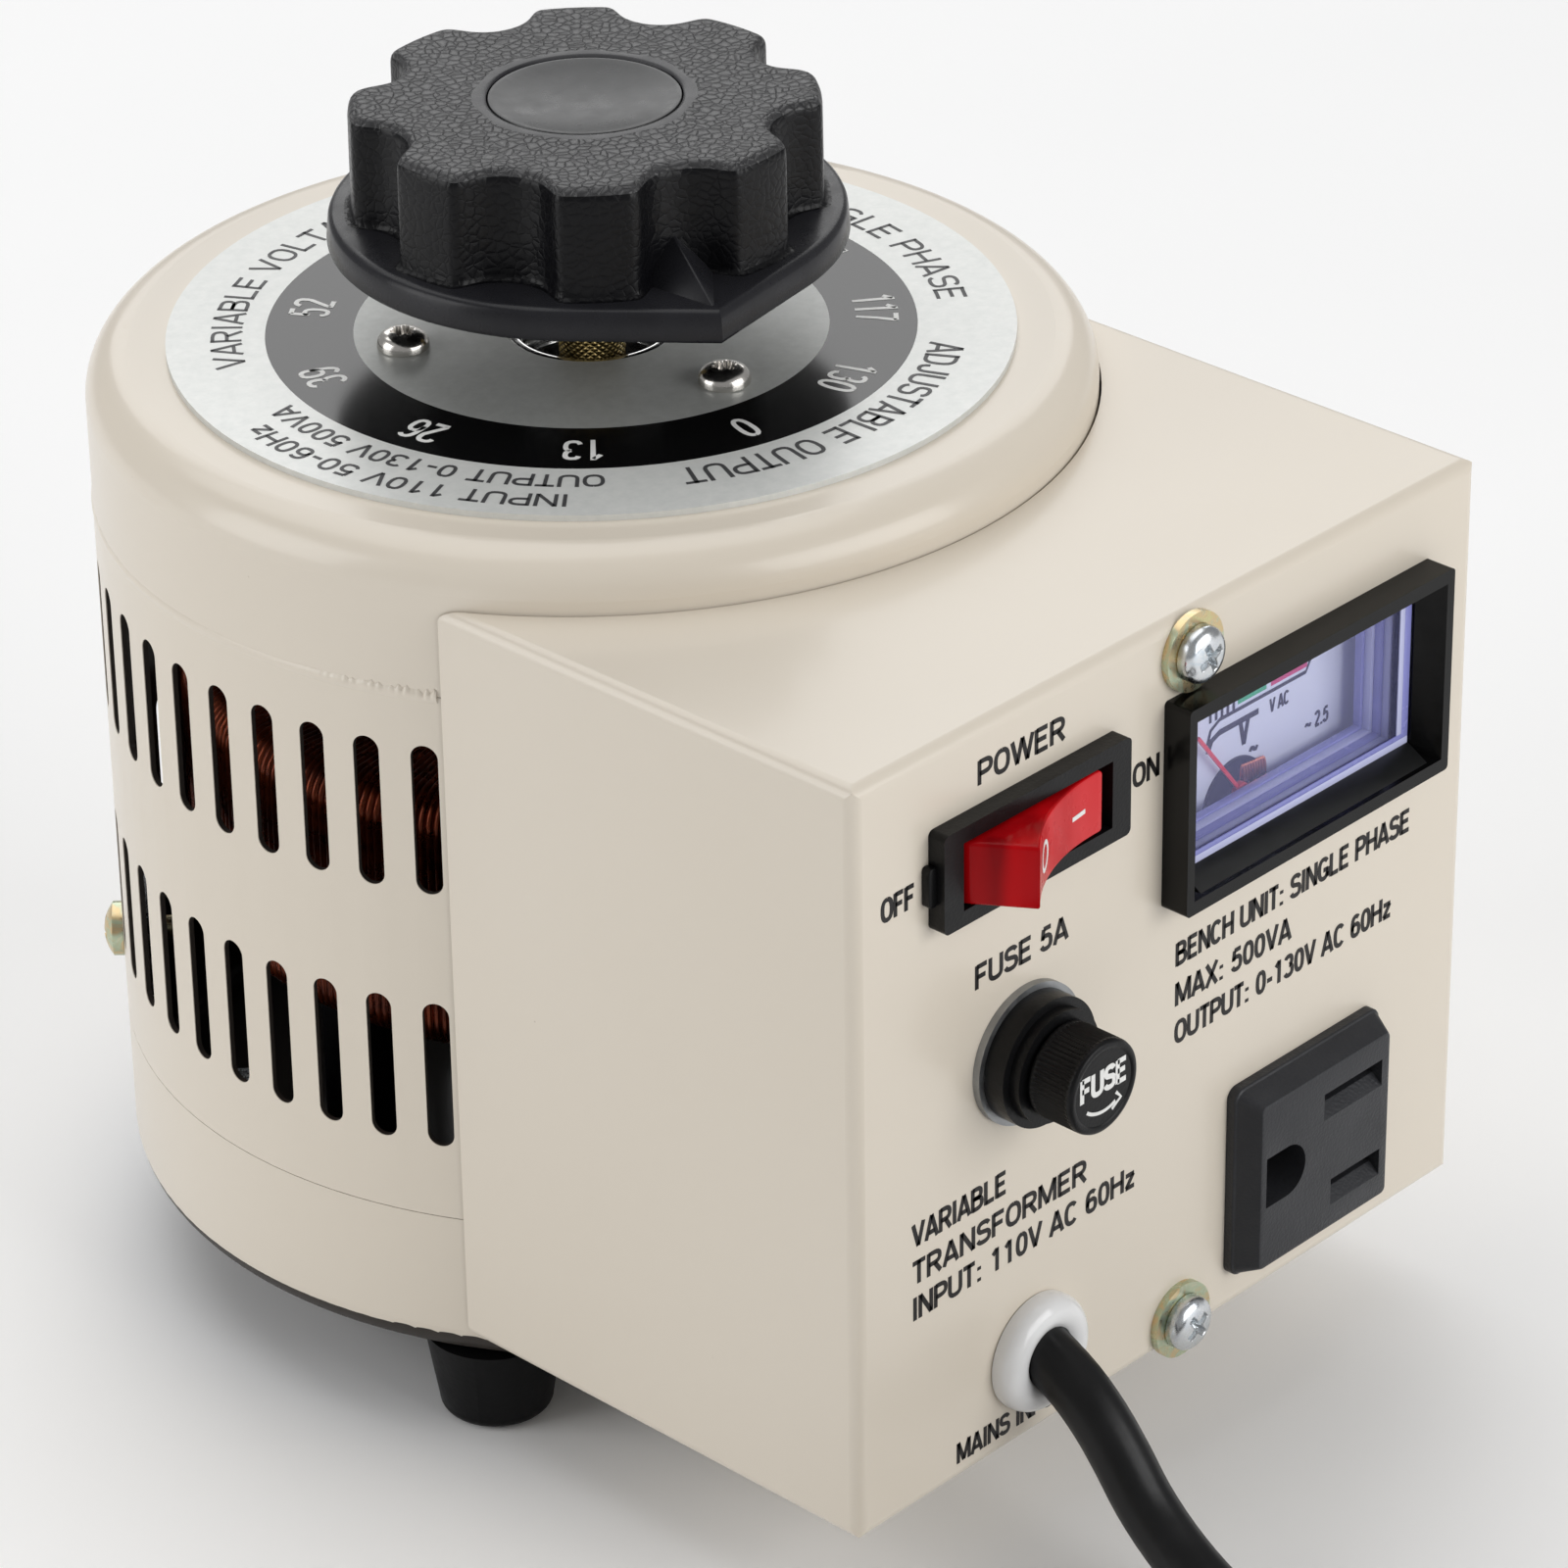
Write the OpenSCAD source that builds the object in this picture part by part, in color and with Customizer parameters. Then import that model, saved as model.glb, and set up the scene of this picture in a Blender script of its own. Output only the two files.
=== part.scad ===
// Bench variable autotransformer: a vented round housing over a toroidal winding with a
// turning brush, and a control box with switch, meter, fuse and outlet on its front.
// Millimetres. +Z is up, the control panel faces -Y, and the feet stand on z = 0.

/* [Drum housing] */
// Outer radius of the base pan, the shell and the top cover
drum_r = 63.5; // [62:0.5:65]
// Sheet thickness of the pan, the shell, the cover and the box
sheet_t = 0.8; // [0.6:0.1:1.2]
// Height of the rubber feet, which is also the level of the drum's underside
foot_h = 12; // [10:0.5:14]
// Height of the seam between the base pan and the shell
pan_seam_z = 33; // [31:0.5:35]
// Height of the seam between the shell and the top cover
lid_seam_z = 106.5; // [105:0.5:108]
// Height of the flat of the top cover
lid_top_z = 125.6; // [124:0.2:127]
// Radius of the rounded shoulder of the top cover
shoulder_r = 5.5; // [4:0.5:8]

/* [Vents] */
// Width of one slot
vent_w = 3.5; // [2.5:0.1:4.2]
// Height of one slot
vent_h = 20.4; // [16:0.2:21]
// Angle from slot to slot
vent_pitch = 6.9; // [6.5:0.1:7.2]
// Slots in one group
vents_per_group = 10; // [8:1:10]
// Lower end of the lower row
vent_low_z = 43.4; // [42:0.2:45]
// Lower end of the upper row
vent_high_z = 79.2; // [78:0.2:80]

/* [Control box] */
// Width of the box
box_w = 112.8; // [110:0.4:116]
// Underside of the box
box_z0 = 16; // [15:0.5:17]
// Top of the box
box_z1 = 118.4; // [118:0.2:120]
// Distance from the drum's axis to the face of the panel
panel_dist = 96.2; // [95:0.2:98]

/* [Dial and knob] */
// Radius of the dial plate
plate_r = 53.2; // [48:0.4:55]
// Thickness of the dial plate
plate_t = 0.8; // [0.5:0.1:1]
// Radius of the hole in the dial plate
plate_hole_r = 11; // [10.5:0.1:11.4]
// Underside of the knob's skirt
knob_z0 = 139; // [136:0.5:141]
// Height of the knob
knob_h = 18.5; // [17:0.5:21]
// Radius of the knob's skirt
skirt_r = 32.5; // [31:0.5:34]
// Reach of the pointer's tip
pointer_r = 37.5; // [36:0.5:39]
// Radius over the knob's lobes
lobe_r = 29.3; // [28:0.1:30]
// Where the pointer stands, as an angle from +X
pointer_angle = -110; // [-120:1:-104]

/* [Transformer] */
// Outer radius of the winding
winding_r = 54; // [50:0.5:55]
// Inner radius of the winding
winding_bore_r = 22; // [21:0.5:23]
// Underside of the winding
winding_z0 = 50; // [49:0.5:51]
// Top of the winding, where the brush runs
winding_z1 = 86; // [84:0.5:87]
// Angle of the gap between the winding's two ends
winding_gap = 20; // [16:1:24]
// Radius of the shaft
shaft_r = 4.2; // [3.8:0.1:4.2]

/* [Panel devices] */
// Angle that the rocker stands at, either way from level
rocker_tilt = 20; // [14:1:20]
// Angle of the needle at zero, from upright
needle_zero = 38; // [30:1:42]
// Diameter of the mains cord
cord_d = 7.6; // [7:0.1:7.6]

/* [Hidden] */
$fn = 64;

// The origin is under the middle of the housing, box and drum together.
fuse_reach = 12.5;
axis_y = (panel_dist + fuse_reach - drum_r) / 2;
panel_y = axis_y - panel_dist;

shell_inner_r = drum_r - sheet_t;
pan_corner_r = 4.5;
joint_gap = 0.1;
cut = 1;

feet_angles = [-152, -28, 90];
foot_circle_r = 54;
side_screw_angles = [135, 45];
side_screw_z = 41;
vent_group_angles = [174.5, 90, 5.5];
dial_screw_angles = [-92.5, 147.5, 27.5];
dial_screw_r = 24;
hub_leg_angles = [30, 150, 270];
hub_leg_r = 34;
hub_z0 = winding_z0 - 5;
clamp_z0 = winding_z1 + 0.2;
shaft_z0 = hub_z0 - 11;
arm_z0 = winding_z1 + 10;
brush_r = 40;

// Panel positions: [x, z] of each device's middle.
switch_pos = [-27.5, 101.7];
meter_pos = [22.6, 94.2];
outlet_pos = [24.9, 35.1];
fuse_pos = [-27.1, 71.5];
grommet_pos = [-25.2, 28.5];
screw_pos = [[2, 113.5], [2, 19.6]];

rocker_pivot = 1;
needle_pivot = [20.4, 84.3];
needle_y = panel_y + 7.2;
cord_r = cord_d / 2;
coil_centre = [-33, -192];
coil_r = 41;

// Cord from the grommet to the coil, and from the coil to the plug.
lead_route = [
    [-25.2, -66, 31], [-25.2, -71, 30.2], [-25.2, -76, 28.6], [-25.2, -80.5, 26.2],
    [-25.2, -84.5, 22.9], [-25.2, -88, 18.9], [-25.3, -91.5, 14.6], [-25.4, -96, 10.6],
    [-25.6, -101.5, 7.3], [-25.8, -107.5, 5], [-26, -113.5, 4], [-25.4, -121, 3.8],
    [-23, -130.5, 3.8], [-18.4, -139.5, 3.8], [-12, -147.5, 3.8], [-4.8, -154.6, 3.8],
    [1.8, -162, 3.8], [7.2, -170.6, 3.8], [10.6, -180.6, 3.8], [11.8, -191, 3.8],
    [11.4, -200, 3.8]
];
tail_route = [
    [-77.4, -201, 11.4], [-77.8, -192, 11.4], [-77.7, -182.5, 11.3], [-77.2, -174.5, 11],
    [-76.4, -166.5, 10.7], [-75.5, -159, 10.5]
];
plug_pos = [-75.5, -159, 10.5];
plug_turn = -3;
plug_len = 46;

// ---------------------------------------------------------------- helpers

module at_axis(z = 0) {
    translate([0, axis_y, z]) children();
}

module around(angles, r, z = 0) {
    for (a = angles)
        at_axis(z) rotate([0, 0, a]) translate([r, 0, 0]) children();
}

// On the panel's face: local X to the right, local Y up, local Z out of the panel.
module on_panel(pos, out = 0) {
    translate([pos[0], panel_y - out, pos[1]]) rotate([90, 0, 0]) children();
}

module ring(ro, ri, h) {
    difference() {
        cylinder(r = ro, h = h);
        translate([0, 0, -cut]) cylinder(r = ri, h = h + 2 * cut);
    }
}

module rounded_rect(w, h, r) {
    square([w - 2 * r, h], center = true);
    square([w, h - 2 * r], center = true);
    for (x = [-1, 1], y = [-1, 1])
        translate([x * (w / 2 - r), y * (h / 2 - r)]) circle(r);
}

module rounded_plate(w, h, r, t) {
    linear_extrude(t) rounded_rect(w, h, r);
}

module slot_outline(w, h) {
    translate([0, w / 2]) circle(w / 2);
    translate([0, h - w / 2]) circle(w / 2);
    translate([-w / 2, w / 2]) square([w, h - w]);
}

module block(w, h, d) {
    translate([-w / 2, -h / 2, 0]) cube([w, h, d]);
}

// Straight sided frustum from w0 x h0 at z = 0 to w1 x h1 at z = d, shifted by s at the top.
module frustum(w0, h0, w1, h1, d, s = [0, 0]) {
    polyhedron(
        points = [
            for (q = [[w0, h0, 0, 0, 0], [w1, h1, d, s[0], s[1]]])
                for (c = [[-1, -1], [1, -1], [1, 1], [-1, 1]])
                    [q[3] + c[0] * q[0] / 2, q[4] + c[1] * q[1] / 2, q[2]]
        ],
        faces = [[0, 1, 2, 3], [7, 6, 5, 4], [0, 4, 5, 1], [1, 5, 6, 2], [2, 6, 7, 3], [3, 7, 4, 0]]
    );
}

module cross_recess(w, l, d) {
    for (a = [0, 90]) rotate([0, 0, a]) translate([-l / 2, -w / 2, -d]) cube([l, w, d + cut]);
}

// Pan head screw: head above z = 0, shank below.
module pan_screw(head_r, head_h, shank_r, shank_l) {
    difference() {
        intersection() {
            cylinder(r = head_r, h = head_h);
            translate([0, 0, head_h - head_r * 1.6]) sphere(r = head_r * 1.6);
        }
        translate([0, 0, head_h]) cross_recess(head_r * 0.24, head_r * 1.15, head_h * 0.6);
    }
    translate([0, 0, -shank_l]) cylinder(r = shank_r, h = shank_l);
}

function unit(v) = v / norm(v);
function heading(p, i) = unit(p[min(i + 1, len(p) - 1)] - p[max(i - 1, 0)]);
function side_dirs(p, i = 0, last = [1, 0, 0]) =
    i == len(p) ? [] :
    let (t = heading(p, i), n = unit(last - t * (last * t)))
    concat([n], side_dirs(p, i + 1, n));

// A round tube along the points p.
module tube(p, r, sides = 10) {
    n = side_dirs(p);
    count = len(p);
    points = [
        for (i = [0 : count - 1], k = [0 : sides - 1])
            let (t = heading(p, i), a = k * 360 / sides)
            p[i] + r * (cos(a) * n[i] + sin(a) * cross(t, n[i]))
    ];
    walls = [
        for (i = [0 : count - 2], k = [0 : sides - 1])
            let (k2 = (k + 1) % sides, a = i * sides + k, b = a + sides,
                 c = (i + 1) * sides + k2, d = i * sides + k2)
            each [[a, b, c], [a, c, d]]
    ];
    first = [for (k = [0 : sides - 1]) k];
    last = [for (k = [sides - 1 : -1 : 0]) (count - 1) * sides + k];
    polyhedron(points = points, faces = concat(walls, [first, last]));
}

// ---------------------------------------------------------------- drum

module base_pan() {
    color("#d8cfc2") difference() {
        at_axis() rotate_extrude() difference() {
            union() {
                translate([0, foot_h]) square([drum_r - pan_corner_r, sheet_t]);
                translate([drum_r - pan_corner_r, foot_h + pan_corner_r]) intersection() {
                    difference() {
                        circle(pan_corner_r);
                        circle(pan_corner_r - sheet_t);
                    }
                    translate([0, -pan_corner_r]) square(pan_corner_r);
                }
                translate([shell_inner_r, foot_h + pan_corner_r])
                    square([sheet_t, pan_seam_z - foot_h - pan_corner_r]);
                translate([shell_inner_r - 1, pan_seam_z - 4]) square([1, 3.9]);
                translate([shell_inner_r - 1.1, pan_seam_z - 4]) square([1, 9]);
            }
        }
        around(feet_angles, foot_circle_r, foot_h - cut) cylinder(r = 2.1, h = sheet_t + 2 * cut);
        around(hub_leg_angles, hub_leg_r, foot_h - cut) cylinder(r = 2.1, h = sheet_t + 2 * cut);
    }
}

module feet() {
    color("#1d1d1f") around(feet_angles, foot_circle_r) rotate_extrude() difference() {
        union() {
            polygon([[0, 1.6], [7.26, 1.6], [8.9, foot_h], [0, foot_h]]);
            square([5.66, 2]);
            translate([5.66, 1.6]) circle(1.6);
        }
        translate([-2 * drum_r, -1]) square([2 * drum_r, 2 * foot_h]);
        square([4, 3]);
        square([2.1, foot_h + 1]);
    }
}

module foot_screws() {
    color("silver") around(feet_angles, foot_circle_r, 3) difference() {
        union() {
            cylinder(r = 2, h = foot_h + 4);
            translate([0, 0, -2.2]) cylinder(r = 3.4, h = 2.2);
        }
        translate([0, 0, -2.2]) mirror([0, 0, 1]) cross_recess(0.9, 4, 1.2);
    }
}

module side_brackets() {
    color("silver") around(side_screw_angles, 0) difference() {
        translate([0, 6, 0]) rotate([90, 0, 0]) linear_extrude(12) polygon([
            [46, 13.3], [56.5, 13.3], [60.6, 19.5], [60.6, 57], [58.6, 57], [58.6, 20], [55.5, 15.3],
            [46, 15.3]
        ]);
        translate([50, 0, side_screw_z]) rotate([0, 90, 0]) cylinder(r = 1.6, h = 12);
    }
}

module vent_row(z) {
    for (g = vent_group_angles, i = [0 : vents_per_group - 1])
        rotate([0, 0, g + (i - (vents_per_group - 1) / 2) * vent_pitch])
            translate([drum_r - 4, 0, z]) rotate([90, 0, 90])
                linear_extrude(8) slot_outline(vent_w, vent_h);
}

module drum_shell() {
    color("#ddd4c8") at_axis() difference() {
        translate([0, 0, pan_seam_z + joint_gap])
            ring(drum_r, shell_inner_r, lid_seam_z - pan_seam_z - 2 * joint_gap);
        vent_row(vent_low_z);
        vent_row(vent_high_z);
        for (a = side_screw_angles) rotate([0, 0, a])
            translate([drum_r - 4, 0, side_screw_z]) rotate([0, 90, 0]) cylinder(r = 2.1, h = 8);
        translate([-22, -drum_r - 5, 46]) cube([44, 20, 44]);
    }
}

module side_screws() {
    color("#c9b458") around(side_screw_angles, drum_r, side_screw_z) rotate([0, 90, 0])
        pan_screw(3.6, 2.7, 1.55, 7);
}

module top_cover() {
    color("#ddd4c8") at_axis() difference() {
        rotate_extrude() {
            translate([shell_inner_r, lid_seam_z])
                square([sheet_t, lid_top_z - shoulder_r - lid_seam_z]);
            translate([drum_r - shoulder_r, lid_top_z - shoulder_r]) intersection() {
                difference() {
                    circle(shoulder_r);
                    circle(shoulder_r - sheet_t);
                }
                square(shoulder_r);
            }
            translate([11.6, lid_top_z - sheet_t]) square([drum_r - shoulder_r - 11.6, sheet_t]);
            translate([shell_inner_r - 1.1, lid_seam_z - 4.5]) square([1, 8.5]);
            translate([shell_inner_r - 1, lid_seam_z + 1]) square([1.2, 3]);
        }
        for (a = dial_screw_angles) rotate([0, 0, a])
            translate([dial_screw_r, 0, lid_top_z - 5]) cylinder(r = 1.7, h = 10);
    }
}

module dial_plate() {
    color("#e6e7e8") at_axis(lid_top_z) difference() {
        ring(plate_r, plate_hole_r, plate_t);
        for (a = dial_screw_angles) rotate([0, 0, a])
            translate([dial_screw_r, 0, -cut]) cylinder(r = 1.7, h = 4);
    }
}

module dial_screws() {
    color("silver") around(dial_screw_angles, dial_screw_r, lid_top_z + plate_t) difference() {
        union() {
            intersection() {
                cylinder(r = 2.9, h = 2.3);
                translate([0, 0, -2.5]) sphere(r = 4.8);
            }
            translate([0, 0, -5]) cylinder(r = 1.45, h = 5);
        }
        translate([0, 0, 1]) cylinder(r = 1.45, h = 3, $fn = 6);
    }
}

module shaft_bush() {
    color("white") at_axis() difference() {
        union() {
            translate([0, 0, lid_top_z - sheet_t - 3]) cylinder(r = 29, h = 3);
            translate([0, 0, lid_top_z - sheet_t - 3]) cylinder(r = 10.7, h = 4.4);
            translate([0, 0, lid_top_z - 12]) cylinder(r = 9, h = 9);
        }
        translate([0, 0, lid_top_z - 20]) cylinder(r = shaft_r + 0.06, h = 30);
        for (a = dial_screw_angles) rotate([0, 0, a])
            translate([dial_screw_r, 0, lid_top_z - 8]) cylinder(r = 1.5, h = 12);
    }
}

// ---------------------------------------------------------------- transformer

module core_hub() {
    color("#b9bcc0") difference() {
        union() {
            at_axis(hub_z0) cylinder(r = 40, h = 4.6);
            at_axis(hub_z0) cylinder(r = 12, h = clamp_z0 + 6 - hub_z0);
            around(hub_leg_angles, hub_leg_r, foot_h + sheet_t)
                cylinder(r = 5, h = hub_z0 - foot_h - sheet_t + 1);
        }
        at_axis(hub_z0 - cut) cylinder(r = 7.5, h = 70);
        around(hub_leg_angles, hub_leg_r, foot_h) cylinder(r = 1.6, h = 16);
    }
}

module hub_screws() {
    color("silver") around(hub_leg_angles, hub_leg_r, foot_h) mirror([0, 0, 1])
        pan_screw(3.4, 2.4, 1.55, 12);
}

module core() {
    color("#5d6064") at_axis(winding_z0 + 5) ring(49, 27, winding_z1 - winding_z0 - 10);
}

module core_insulators() {
    color("#8a6b45") for (z = [winding_z0 + 3.9, winding_z1 - 4.9])
        at_axis(z) ring(50, 26, 1);
}

module winding() {
    color("#b4602f") at_axis()
        rotate([0, 0, -89 + winding_gap / 2])
            rotate_extrude(angle = 360 - winding_gap)
                translate([(winding_r + winding_bore_r) / 2, (winding_z0 + winding_z1) / 2])
                    difference() {
                        rounded_rect(winding_r - winding_bore_r, winding_z1 - winding_z0, 5);
                        rounded_rect(25, winding_z1 - winding_z0 - 7, 1);
                    }
}

module clamp_disc() {
    color("#3b2a20") at_axis(clamp_z0) ring(31, 12.1, 3);
}

module clamp_nut() {
    color("silver") at_axis(clamp_z0 + 3.1) difference() {
        cylinder(r = 16, h = 4, $fn = 6);
        translate([0, 0, -cut]) cylinder(r = 12.1, h = 8);
    }
}

module shaft_bearings() {
    color("#b08d57") for (z = [hub_z0 + 1, clamp_z0 - 9])
        at_axis(z) ring(7.45, shaft_r + 0.05, 14);
}

module terminal_board() {
    color("#6b4a2b") translate([0, axis_y - 42, 0]) difference() {
        union() {
            translate([-24, -8, 22]) cube([48, 10.6, 2]);
            for (x = [-19, 19]) translate([x, -1, foot_h + sheet_t])
                cylinder(r = 3, h = 22.5 - foot_h - sheet_t);
        }
        for (x = [-12, -4, 4, 12]) translate([x, -1, 18]) cylinder(r = 1.4, h = 10);
    }
}

module terminal_screws() {
    color("#c9a24a") for (x = [-12, -4, 4, 12])
        translate([x, axis_y - 43, 24]) pan_screw(2.6, 1.8, 1.35, 5);
}

// ---------------------------------------------------------------- control box

module box_block(inset) {
    r = 1.6;
    w = box_w - 2 * inset;
    y0 = panel_y + inset;
    length = axis_y - y0;
    z0 = box_z0 + inset;
    h = box_z1 - box_z0 - 2 * inset;
    intersection() {
        translate([0, axis_y, z0 + h / 2]) rotate([90, 0, 0]) rounded_plate(w, h, r, length);
        translate([0, y0 + length, z0]) rounded_plate(w, 2 * length, r, h);
        translate([-w / 2, y0 + length, z0 + h / 2]) rotate([90, 0, 90])
            rounded_plate(2 * length, h, r, w);
    }
}

module control_box() {
    color("#ddd4c8") difference() {
        box_block(0);
        box_block(sheet_t);
        at_axis(-cut) cylinder(r = drum_r + 0.3, h = 200);
        on_panel(switch_pos, -3) block(27.2, 11.2, 6);
        on_panel(meter_pos, -3) block(45.2, 24.8, 6);
        on_panel(outlet_pos, -3) block(25.2, 25.2, 6);
        on_panel(fuse_pos, -3) cylinder(r = 6.2, h = 6);
        on_panel(grommet_pos, -3) cylinder(r = 5.8, h = 6);
        for (p = screw_pos) on_panel(p, -3) cylinder(r = 2.1, h = 6);
    }
}

// A tab behind the panel from z_low to z_high, with an arm back to the drum at arm_z.
module bracket(pos, z_low, z_high, arm_z) {
    difference() {
        intersection() {
            union() {
                translate([pos[0] - 6, panel_y, z_low]) cube([12, 3.5, z_high - z_low]);
                translate([pos[0] - 6, panel_y, arm_z]) cube([12, 35, 2]);
            }
            box_block(sheet_t + 0.04);
        }
        at_axis(-cut) cylinder(r = drum_r + 0.02, h = 200);
        on_panel(pos, -8) cylinder(r = 1.92, h = 10);
    }
}

module box_brackets() {
    upper = screw_pos[0][1];
    lower = screw_pos[1][1];
    color("silver") {
        bracket(screw_pos[0], upper - 5, upper + 4, upper - 5);
        bracket(screw_pos[1], lower - 2.2, lower + 5, lower + 3);
    }
}

module box_screws() {
    color("silver") for (p = screw_pos) on_panel(p, 1) pan_screw(3.8, 2.8, 1.9, 7);
}

module box_washers() {
    color("#cdbb72") for (p = screw_pos) on_panel(p) ring(5.1, 2.1, 1);
}

// ---------------------------------------------------------------- power switch

module switch_frame() {
    color("#1c1c1e") on_panel(switch_pos) difference() {
        union() {
            rounded_plate(32.6, 13, 0.8, 2.5);
            translate([0, 0, -17]) block(26.8, 10.8, 17.1);
        }
        translate([0, 0, -9.5]) block(26, 8.9, 14);
        translate([0, -6, rocker_pivot]) rotate([-90, 0, 0]) cylinder(r = 0.9, h = 12);
        for (x = [-8, 0, 8]) translate([x, 0, -18]) block(5, 1, 10);
    }
}

module switch_terminals() {
    color("silver") on_panel(switch_pos) for (x = [-8, 0, 8])
        translate([x, 0, -24.5]) difference() {
            block(4.8, 0.8, 14);
            translate([0, 0, 3]) rotate([90, 0, 0]) cylinder(r = 0.8, h = 4, center = true);
        }
}

// The rocker's outline seen from above, level, about its pivot.
module rocker_outline() {
    tip = [9.9, 5.2];
    dish = 1.9;
    dish_r = (tip[0] * tip[0] + dish * dish) / (2 * dish);
    difference() {
        polygon([[-12, -4], [12, -4], [tip[0], tip[1]], [-tip[0], tip[1]]]);
        translate([0, tip[1] - dish + dish_r]) circle(dish_r, $fn = 180);
    }
}

module rocker() {
    color("red") translate([switch_pos[0], panel_y - rocker_pivot, switch_pos[1]])
        rotate([0, 0, rocker_tilt]) {
            translate([0, 0, -4.15]) linear_extrude(8.3) mirror([0, 1]) rocker_outline();
            translate([0, 0, -5.2]) cylinder(r = 0.84, h = 10.4);
        }
}

// ---------------------------------------------------------------- panel meter

module meter_bezel() {
    color("#1a1a1b") on_panel(meter_pos) difference() {
        union() {
            rounded_plate(50, 28, 0.6, 4);
            translate([0, 0, -6]) block(45, 24.6, 7);
        }
        translate([0, 0, -8]) block(43.6, 23.2, 10);
        translate([0, 0, 0.5]) frustum(43.6, 23.2, 47.4, 24.4, 3.6);
    }
}

module meter_case() {
    color("#151516") on_panel(meter_pos) difference() {
        translate([0, 0, -24]) block(45, 24.6, 17.9);
        translate([0, 0, -22.5]) block(43.4, 23, 20);
    }
}

module meter_window() {
    color("lightblue", 0.35) on_panel(meter_pos) difference() {
        translate([0, 0, -6]) block(43.4, 23, 6);
        translate([0, 0, -8.5]) block(40.6, 20.2, 7);
    }
}

module meter_scale() {
    color("white") on_panel(meter_pos, -8.4) difference() {
        translate([0, 1.5, 0]) block(41, 18.5, 0.4);
        translate([needle_pivot[0] - meter_pos[0], -11.6, -cut]) cylinder(r = 7, h = 3);
    }
}

module meter_movement() {
    color("#222222") {
        on_panel([needle_pivot[0], meter_pos[1] - 11.6], -8.2) difference() {
            cylinder(r = 5.8, h = 0.6);
            translate([-8, -16, -cut]) cube([16, 16.4, 5]);
        }
        on_panel(meter_pos, -22.3) translate([0, -3, 0]) block(24, 14, 13.8);
        on_panel(needle_pivot, -12) cylinder(r = 1.1, h = 3.7);
    }
}

module meter_needle() {
    color("red") translate([needle_pivot[0], needle_y, needle_pivot[1]])
        rotate([0, -needle_zero, 0]) rotate([90, 0, 0]) {
            cylinder(r = 1.2, h = 0.8);
            translate([-0.25, -1, 0.3]) cube([0.5, 14.5, 0.3]);
        }
}

// ---------------------------------------------------------------- outlet

module blade_slot(y, w) {
    translate([11 - w, y, 0]) rotate([90, 0, 90]) linear_extrude(w)
        polygon([[-2, 6], [2, 6], [2, -14], [-0.4, -14], [-0.4, 3], [-2, 4.7]]);
}

module ground_slot() {
    translate([-7.5, 0.5, -14]) linear_extrude(20) {
        intersection() {
            circle(3.6);
            translate([-1, -4]) square([8, 8]);
        }
        translate([-4, -3.6]) square([4.2, 7.2]);
    }
}

module outlet_body() {
    color("#222326") on_panel(outlet_pos) difference() {
        union() {
            rounded_plate(28.2, 27.2, 1.6, 1.4);
            translate([0, 0, 1.3]) frustum(27.2, 26.2, 24.8, 23.6, 3.2);
            translate([0, 0, -22]) block(25, 25, 22.1);
        }
        blade_slot(6.4, 11.4);
        blade_slot(-6.8, 9.7);
        ground_slot();
        for (y = [6.4, -6.8]) translate([5.3, y + 0.8, -23]) block(5.2, 1.2, 12);
        translate([-7.5, 0.5, -23]) block(5.2, 1.2, 12);
    }
}

module contact_leaf(w) {
    for (s = [-1, 1]) translate([0, s * 0.95, 0]) block(w, 0.3, 9);
    translate([0, 0, 0]) block(w, 2.2, 0.4);
    translate([0, 0, -15.6]) block(5, 0.8, 15.8);
}

module outlet_contacts() {
    color("#c9a24a") on_panel(outlet_pos) {
        for (y = [6.4, -6.8]) translate([5.3, y + 0.8, -12.5]) contact_leaf(7);
        translate([-7.5, 0.5, -12.5]) {
            block(4.4, 4.4, 0.4);
            for (s = [-1, 1]) translate([0, s * 2.9, 0]) block(3, 0.3, 8);
            block(3, 6, 0.4);
            translate([0, 0, -15.6]) block(5, 0.8, 15.8);
        }
    }
}

// ---------------------------------------------------------------- fuse holder

module fuse_body() {
    color("#151516") on_panel(fuse_pos) difference() {
        union() {
            translate([0, 0, 1]) cylinder(r = 8.3, h = 3);
            translate([0, 0, 3.9]) cylinder(r = 7.2, h = 1.6);
            translate([0, 0, -29]) cylinder(r = 6.1, h = 31);
        }
        translate([0, 0, -26.5]) cylinder(r = 4.3, h = 40);
        translate([0, 0, -30]) block(3.2, 0.9, 8);
        translate([-6.5, 0, -20]) block(5, 3.2, 0.9);
    }
}

module fuse_washer() {
    color("#9b9d9f") on_panel(fuse_pos) ring(9.1, 6.2, 1);
}

module fuse_nut() {
    color("#2a2a2c") on_panel(fuse_pos, -sheet_t - 3.1) difference() {
        cylinder(r = 8.8, h = 3, $fn = 6);
        translate([0, 0, -cut]) cylinder(r = 6.15, h = 6);
    }
}

module fuse_terminals() {
    color("silver") on_panel(fuse_pos) {
        translate([0, 0, -33]) block(3, 0.7, 6.8);
        translate([0, 0, -26.45]) cylinder(r = 2.2, h = 1.35);
        translate([-10.5, -1.5, -19.9]) cube([6, 3, 0.7]);
    }
}

module fuse_clip() {
    color("#c9a24a") on_panel(fuse_pos) translate([0, 0, -4.4]) difference() {
        cylinder(r = 3.5, h = 5.1);
        translate([0, 0, -cut]) cylinder(r = 2.7, h = 5.2);
    }
}

module fuse_glass() {
    color("lightblue", 0.35) on_panel(fuse_pos) translate([0, 0, -19.8]) ring(2.35, 1.9, 15);
}

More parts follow.
